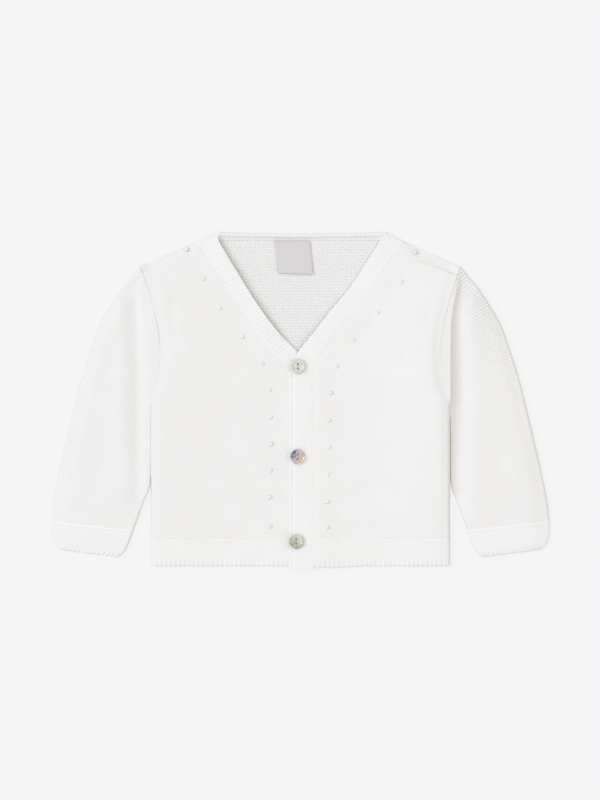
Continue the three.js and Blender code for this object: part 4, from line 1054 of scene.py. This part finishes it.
satin = bpy.data.materials.new("satin")
satin.use_nodes = True
tree = satin.node_tree
bsdf = tree.nodes["Principled BSDF"]
bsdf.inputs["Base Color"].default_value = (0.66, 0.637, 0.652, 1)
bsdf.inputs["Roughness"].default_value = 0.42
bsdf.inputs["Anisotropic"].default_value = 0.5
bsdf.inputs["Sheen Weight"].default_value = 0.1
threads = node(tree, "ShaderNodeTexWave", [("Scale", 1.6), ("Distortion", 0.15)], bands_direction="X")
tree.links.new(node(tree, "ShaderNodeUVMap", uv_map="knit").outputs["UV"], threads.inputs["Vector"])
bump = node(tree, "ShaderNodeBump", [("Strength", 0.35), ("Distance", 0.00005),
                                     ("Height", threads.outputs["Fac"])])
tree.links.new(bump.outputs["Normal"], bsdf.inputs["Normal"])
u, v = np.meshgrid(np.linspace(0, 1, 41), np.linspace(0, 1, 41))
x = mix(LABEL_BOTTOM_X, LABEL_TOP_X, v) + u * LABEL_WIDTH
y = mix(LABEL_BOTTOM, LABEL_TOP, v) - 0.8 * u * (1 - v)
lift = 0.5 * np.sin(np.pi * u) * (1 - v) + 0.35 * smooth(0.92, 1, v)
lift = lift + 0.12 * np.sin(2.2 * np.pi * v + 1.5 * u)
near_rim = np.minimum(np.minimum(u, 1 - u) * LABEL_WIDTH, v * 24)
top_z = KNIT + GAP + LABEL_THICK + lift - 0.35 * (1 - rolled(near_rim / 0.6))
face = np.stack([x, y, top_z], -1)
lining = np.stack([x, y, KNIT + GAP + np.maximum(0, lift - 0.12)], -1)[::4, ::4]
label = cloth("neck_label", [(face, lining, np.stack([u * LABEL_WIDTH, v * 24], -1), False)], satin)
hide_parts("label")


# Buttons
# Three round shell buttons with a raised rim and two holes, sewn to the band with white thread.
BUTTON_RADIUS, BUTTON_THICK, HOLE_RADIUS, HOLES_APART = 5.5, 2.3, 0.8, 3.2
BUTTON_SEAT = 2 * LAYER + KNIT + GAP
BUTTONS = [(-1.9, 25.8), (-2.1, -42.0), (-3.2, -105.3)]

# Shell layers and painted reflection: how far through the shell's layers each place lies, from 0 to 1. A
# slant across the button carries it from one side to the other, a painted reflection lighter on one side, and
# clouds of the shell's growth break it up.
shell_layers_and_reflection, g_in, g_out = new_group(
    "shell_layers_and_reflection",
    [("Place", "NodeSocketVector", None), ("Middle", "NodeSocketVector", None),
     ("Reflection Slant", "NodeSocketVector", None),
     ("Clouds", "NodeSocketFloat", 0.9)],
    [("Layer", "NodeSocketFloat"), ("Speck", "NodeSocketFloat")],
)
from_middle = node(shell_layers_and_reflection, "ShaderNodeVectorMath",
                   [(0, g_in.outputs["Place"]), (1, g_in.outputs["Middle"])],
                   operation="SUBTRACT")
reflection_slant = node(shell_layers_and_reflection, "ShaderNodeVectorMath", [(0, from_middle.outputs[0]), (1, g_in.outputs["Reflection Slant"])],
             operation="DOT_PRODUCT")
growth = node(shell_layers_and_reflection, "ShaderNodeTexNoise", [("Vector", g_in.outputs["Place"]), ("Scale", 330.0),
                                                   ("Detail", 2.5),
                                                   ("Distortion", 1.6)])
layer_and_reflection = maths(shell_layers_and_reflection, "MULTIPLY_ADD", maths(shell_layers_and_reflection, "SUBTRACT", growth.outputs["Fac"], 0.5),
              g_in.outputs["Clouds"], maths(shell_layers_and_reflection, "ADD", reflection_slant.outputs["Value"], 0.5))
specks = node(shell_layers_and_reflection, "ShaderNodeTexVoronoi", [("Vector", g_in.outputs["Place"]), ("Scale", 420.0)])
speck = node(shell_layers_and_reflection, "ShaderNodeMapRange", [("Value", specks.outputs["Distance"]), ("From Min", 0.12),
                                                  ("From Max", 0.26), ("To Min", 1.0), ("To Max", 0.0)])
shell_layers_and_reflection.links.new(layer_and_reflection, g_out.inputs["Layer"])
shell_layers_and_reflection.links.new(speck.outputs["Result"], g_out.inputs["Speck"])


def shell(name, middle, reflection_slant_by, clouds_by, specks_by, stops):
    """Polished shell: its colour from a ramp of the shell's layers and the painted reflection slanting across
    it, with a few dark specks.
    """
    material = bpy.data.materials.new(name)
    material.use_nodes = True
    tree = material.node_tree
    bsdf = tree.nodes["Principled BSDF"]
    layers_and_reflection = node(tree, "ShaderNodeGroup", node_tree=shell_layers_and_reflection)
    tree.links.new(node(tree, "ShaderNodeTexCoord").outputs["Object"], layers_and_reflection.inputs["Place"])
    layers_and_reflection.inputs["Middle"].default_value = (middle[0] * 0.001, middle[1] * 0.001, 0)
    layers_and_reflection.inputs["Reflection Slant"].default_value = reflection_slant_by
    layers_and_reflection.inputs["Clouds"].default_value = clouds_by
    ramp = node(tree, "ShaderNodeValToRGB", [("Fac", layers_and_reflection.outputs["Layer"])])
    ends = ramp.color_ramp.elements
    ends[0].position, ends[0].color = stops[0][0], (*stops[0][1], 1)
    ends[1].position, ends[1].color = stops[-1][0], (*stops[-1][1], 1)
    for position, colour in stops[1:-1]:
        ends.new(position).color = (*colour, 1)
    colour = node(tree, "ShaderNodeMix", [(0, maths(tree, "MULTIPLY", layers_and_reflection.outputs["Speck"], specks_by)),
                                          (6, ramp.outputs["Color"]), (7, (0.16, 0.15, 0.12, 1))],
                                          data_type="RGBA")
    tree.links.new(colour.outputs[2], bsdf.inputs["Base Color"])
    bsdf.inputs["Roughness"].default_value = 0.16
    bsdf.inputs["Coat Weight"].default_value = 0.5
    bsdf.inputs["Coat Roughness"].default_value = 0.08
    bump = node(tree, "ShaderNodeBump", [("Strength", 0.3), ("Distance", 0.0002),
                                         ("Height", layers_and_reflection.outputs["Layer"])])
    tree.links.new(bump.outputs["Normal"], bsdf.inputs["Normal"])
    return material


SHELLS = [  # slant of the painted reflection across the button, clouds, specks, and the ramp's stops
    (shell("shell_pale", BUTTONS[0], (10, 12, 0), 0.7, 0.8, [
        (0.0, (0.50, 0.48, 0.41)), (0.4, (0.67, 0.65, 0.60)), (0.7, (0.75, 0.72, 0.69)),
        (1.0, (0.84, 0.82, 0.80))])),
    # The middle button's near-white end at the lower right is a painted reflection.
    (shell("shell_bright", BUTTONS[1], (72, -38, 0), 1.1, 0.3, [
        (0.05, (0.12, 0.10, 0.11)), (0.28, (0.27, 0.31, 0.37)), (0.42, (0.56, 0.42, 0.52)),
        (0.55, (0.62, 0.50, 0.50)),
        (0.68, (0.52, 0.36, 0.24)), (0.82, (0.76, 0.64, 0.60)), (1.0, (0.95, 0.93, 0.92))])),
    (shell("shell_olive", BUTTONS[2], (30, 52, 0), 1.1, 0.5, [
        (0.05, (0.20, 0.16, 0.12)), (0.26, (0.46, 0.40, 0.32)), (0.42, (0.50, 0.50, 0.41)),
        (0.7, (0.60, 0.60, 0.52)),
        (1.0, (0.80, 0.79, 0.74))])),
]

thread_white = bpy.data.materials.new("thread_white")
thread_white.use_nodes = True
tree = thread_white.node_tree
bsdf = tree.nodes["Principled BSDF"]
bsdf.inputs["Base Color"].default_value = (0.66, 0.64, 0.60, 1)
bsdf.inputs["Roughness"].default_value = 0.6
twist = node(tree, "ShaderNodeTexWave", [("Scale", 1400.0), ("Distortion", 0.3)], bands_direction="DIAGONAL")
tree.links.new(node(tree, "ShaderNodeTexCoord").outputs["Object"], twist.inputs["Vector"])
bump = node(tree, "ShaderNodeBump", [("Strength", 0.5), ("Distance", 0.00008),
                                     ("Height", twist.outputs["Fac"])])
tree.links.new(bump.outputs["Normal"], bsdf.inputs["Normal"])


def lathed(profile, steps):
    """A closed round body: a profile of radius and height turned once round the upright axis."""
    turn = np.linspace(0, 2 * np.pi, steps + 1)[:-1]
    radius, level = np.asarray(profile, float).T
    ring = np.stack([radius[:, None] * np.cos(turn), radius[:, None] * np.sin(turn),
                     np.broadcast_to(level[:, None], (len(radius), steps))], -1)
    numbers = np.arange(ring[..., 0].size).reshape(ring.shape[:2])
    numbers = np.concatenate([numbers, numbers[:, :1]], 1)
    quads = np.stack([numbers[:-1, :-1], numbers[:-1, 1:], numbers[1:, 1:], numbers[1:, :-1]],
                     -1).reshape(-1, 4)
    return ring.reshape(-1, 3), quads.tolist() + [numbers[0, -2::-1].tolist(), numbers[-1, :-1].tolist()]


def solid(name, points, faces):
    """A mesh object in metres from points in millimetres."""
    mesh = bpy.data.meshes.new(name)
    mesh.from_pydata((np.asarray(points) * 0.001).tolist(), [], faces)
    made = bpy.data.objects.new(name, mesh)
    bpy.context.scene.collection.objects.link(made)
    return made


half_thick = BUTTON_THICK / 2
rim = np.radians(np.linspace(-80, 90, 15))
profile = [(0.05, 0), (3.9, 0), (4.75, 0.15)]
profile += [(BUTTON_RADIUS - 0.85 + 0.85 * math.cos(a), half_thick + half_thick * math.sin(a)) for a in rim]
profile += [(4.35, 2.24), (4.05, 2.1), (3.75, 1.86), (3.3, 1.7), (2.3, 1.58), (0.05, 1.54)]
for number, (bx, by) in enumerate(BUTTONS, 1):
    points, faces = lathed(profile, 72)
    button = solid(f"shell_button_{number}", points + [bx, by, BUTTON_SEAT], faces)
    for way in (-0.5, 0.5):
        points, faces = lathed([(HOLE_RADIUS, -1), (HOLE_RADIUS, 4)], 24)
        drill = solid("drill", points + [bx, by + way * HOLES_APART, BUTTON_SEAT], faces)
        cut = button.modifiers.new("hole", "BOOLEAN")
        cut.object, cut.operation, cut.solver = drill, "DIFFERENCE", "EXACT"
        pierced = bpy.data.meshes.new_from_object(button.evaluated_get(bpy.context.evaluated_depsgraph_get()))
        button.modifiers.clear()
        button.data = pierced
        bpy.data.objects.remove(drill)
    button.data.polygons.foreach_set("use_smooth", np.ones(len(button.data.polygons), bool))
    button.data.set_sharp_from_angle(angle=math.radians(40))
    button.data.materials.clear()
    button.data.materials.append(SHELLS[number - 1])
    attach(button, "root")
    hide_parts(f"button_{number}")
    strands = []
    for offset in (-0.22, 0.2):
        go = np.linspace(0, 1, 17)[:, None]
        turn = np.linspace(0, 2 * np.pi, 9)[:-1]
        path_y = by + (go - 0.5) * HOLES_APART * 0.98
        into_holes = smooth(0.88, 1, go) + smooth(0.88, 1, 1 - go)
        path_z = BUTTON_SEAT + 1.58 + 0.3 * np.sin(np.pi * go) ** 0.5 - 1.1 * into_holes
        path_x = bx + offset * (0.6 + 0.4 * np.sin(np.pi * go)) + 0.05 * np.sin(9 * go + offset * 5)
        face = np.stack([path_x + 0.17 * np.cos(turn), path_y + 0 * turn, path_z + 0.17 * np.sin(turn)], -1)
        core = np.stack([path_x + 0.02 * np.cos(turn[::2]), path_y + 0 * turn[::2],
                         path_z + 0.02 * np.sin(turn[::2])], -1)[::4]
        strands.append((face, core, np.zeros((17, 8, 2)), True))
    thread = cloth(f"button_thread_{number}", strands, thread_white)
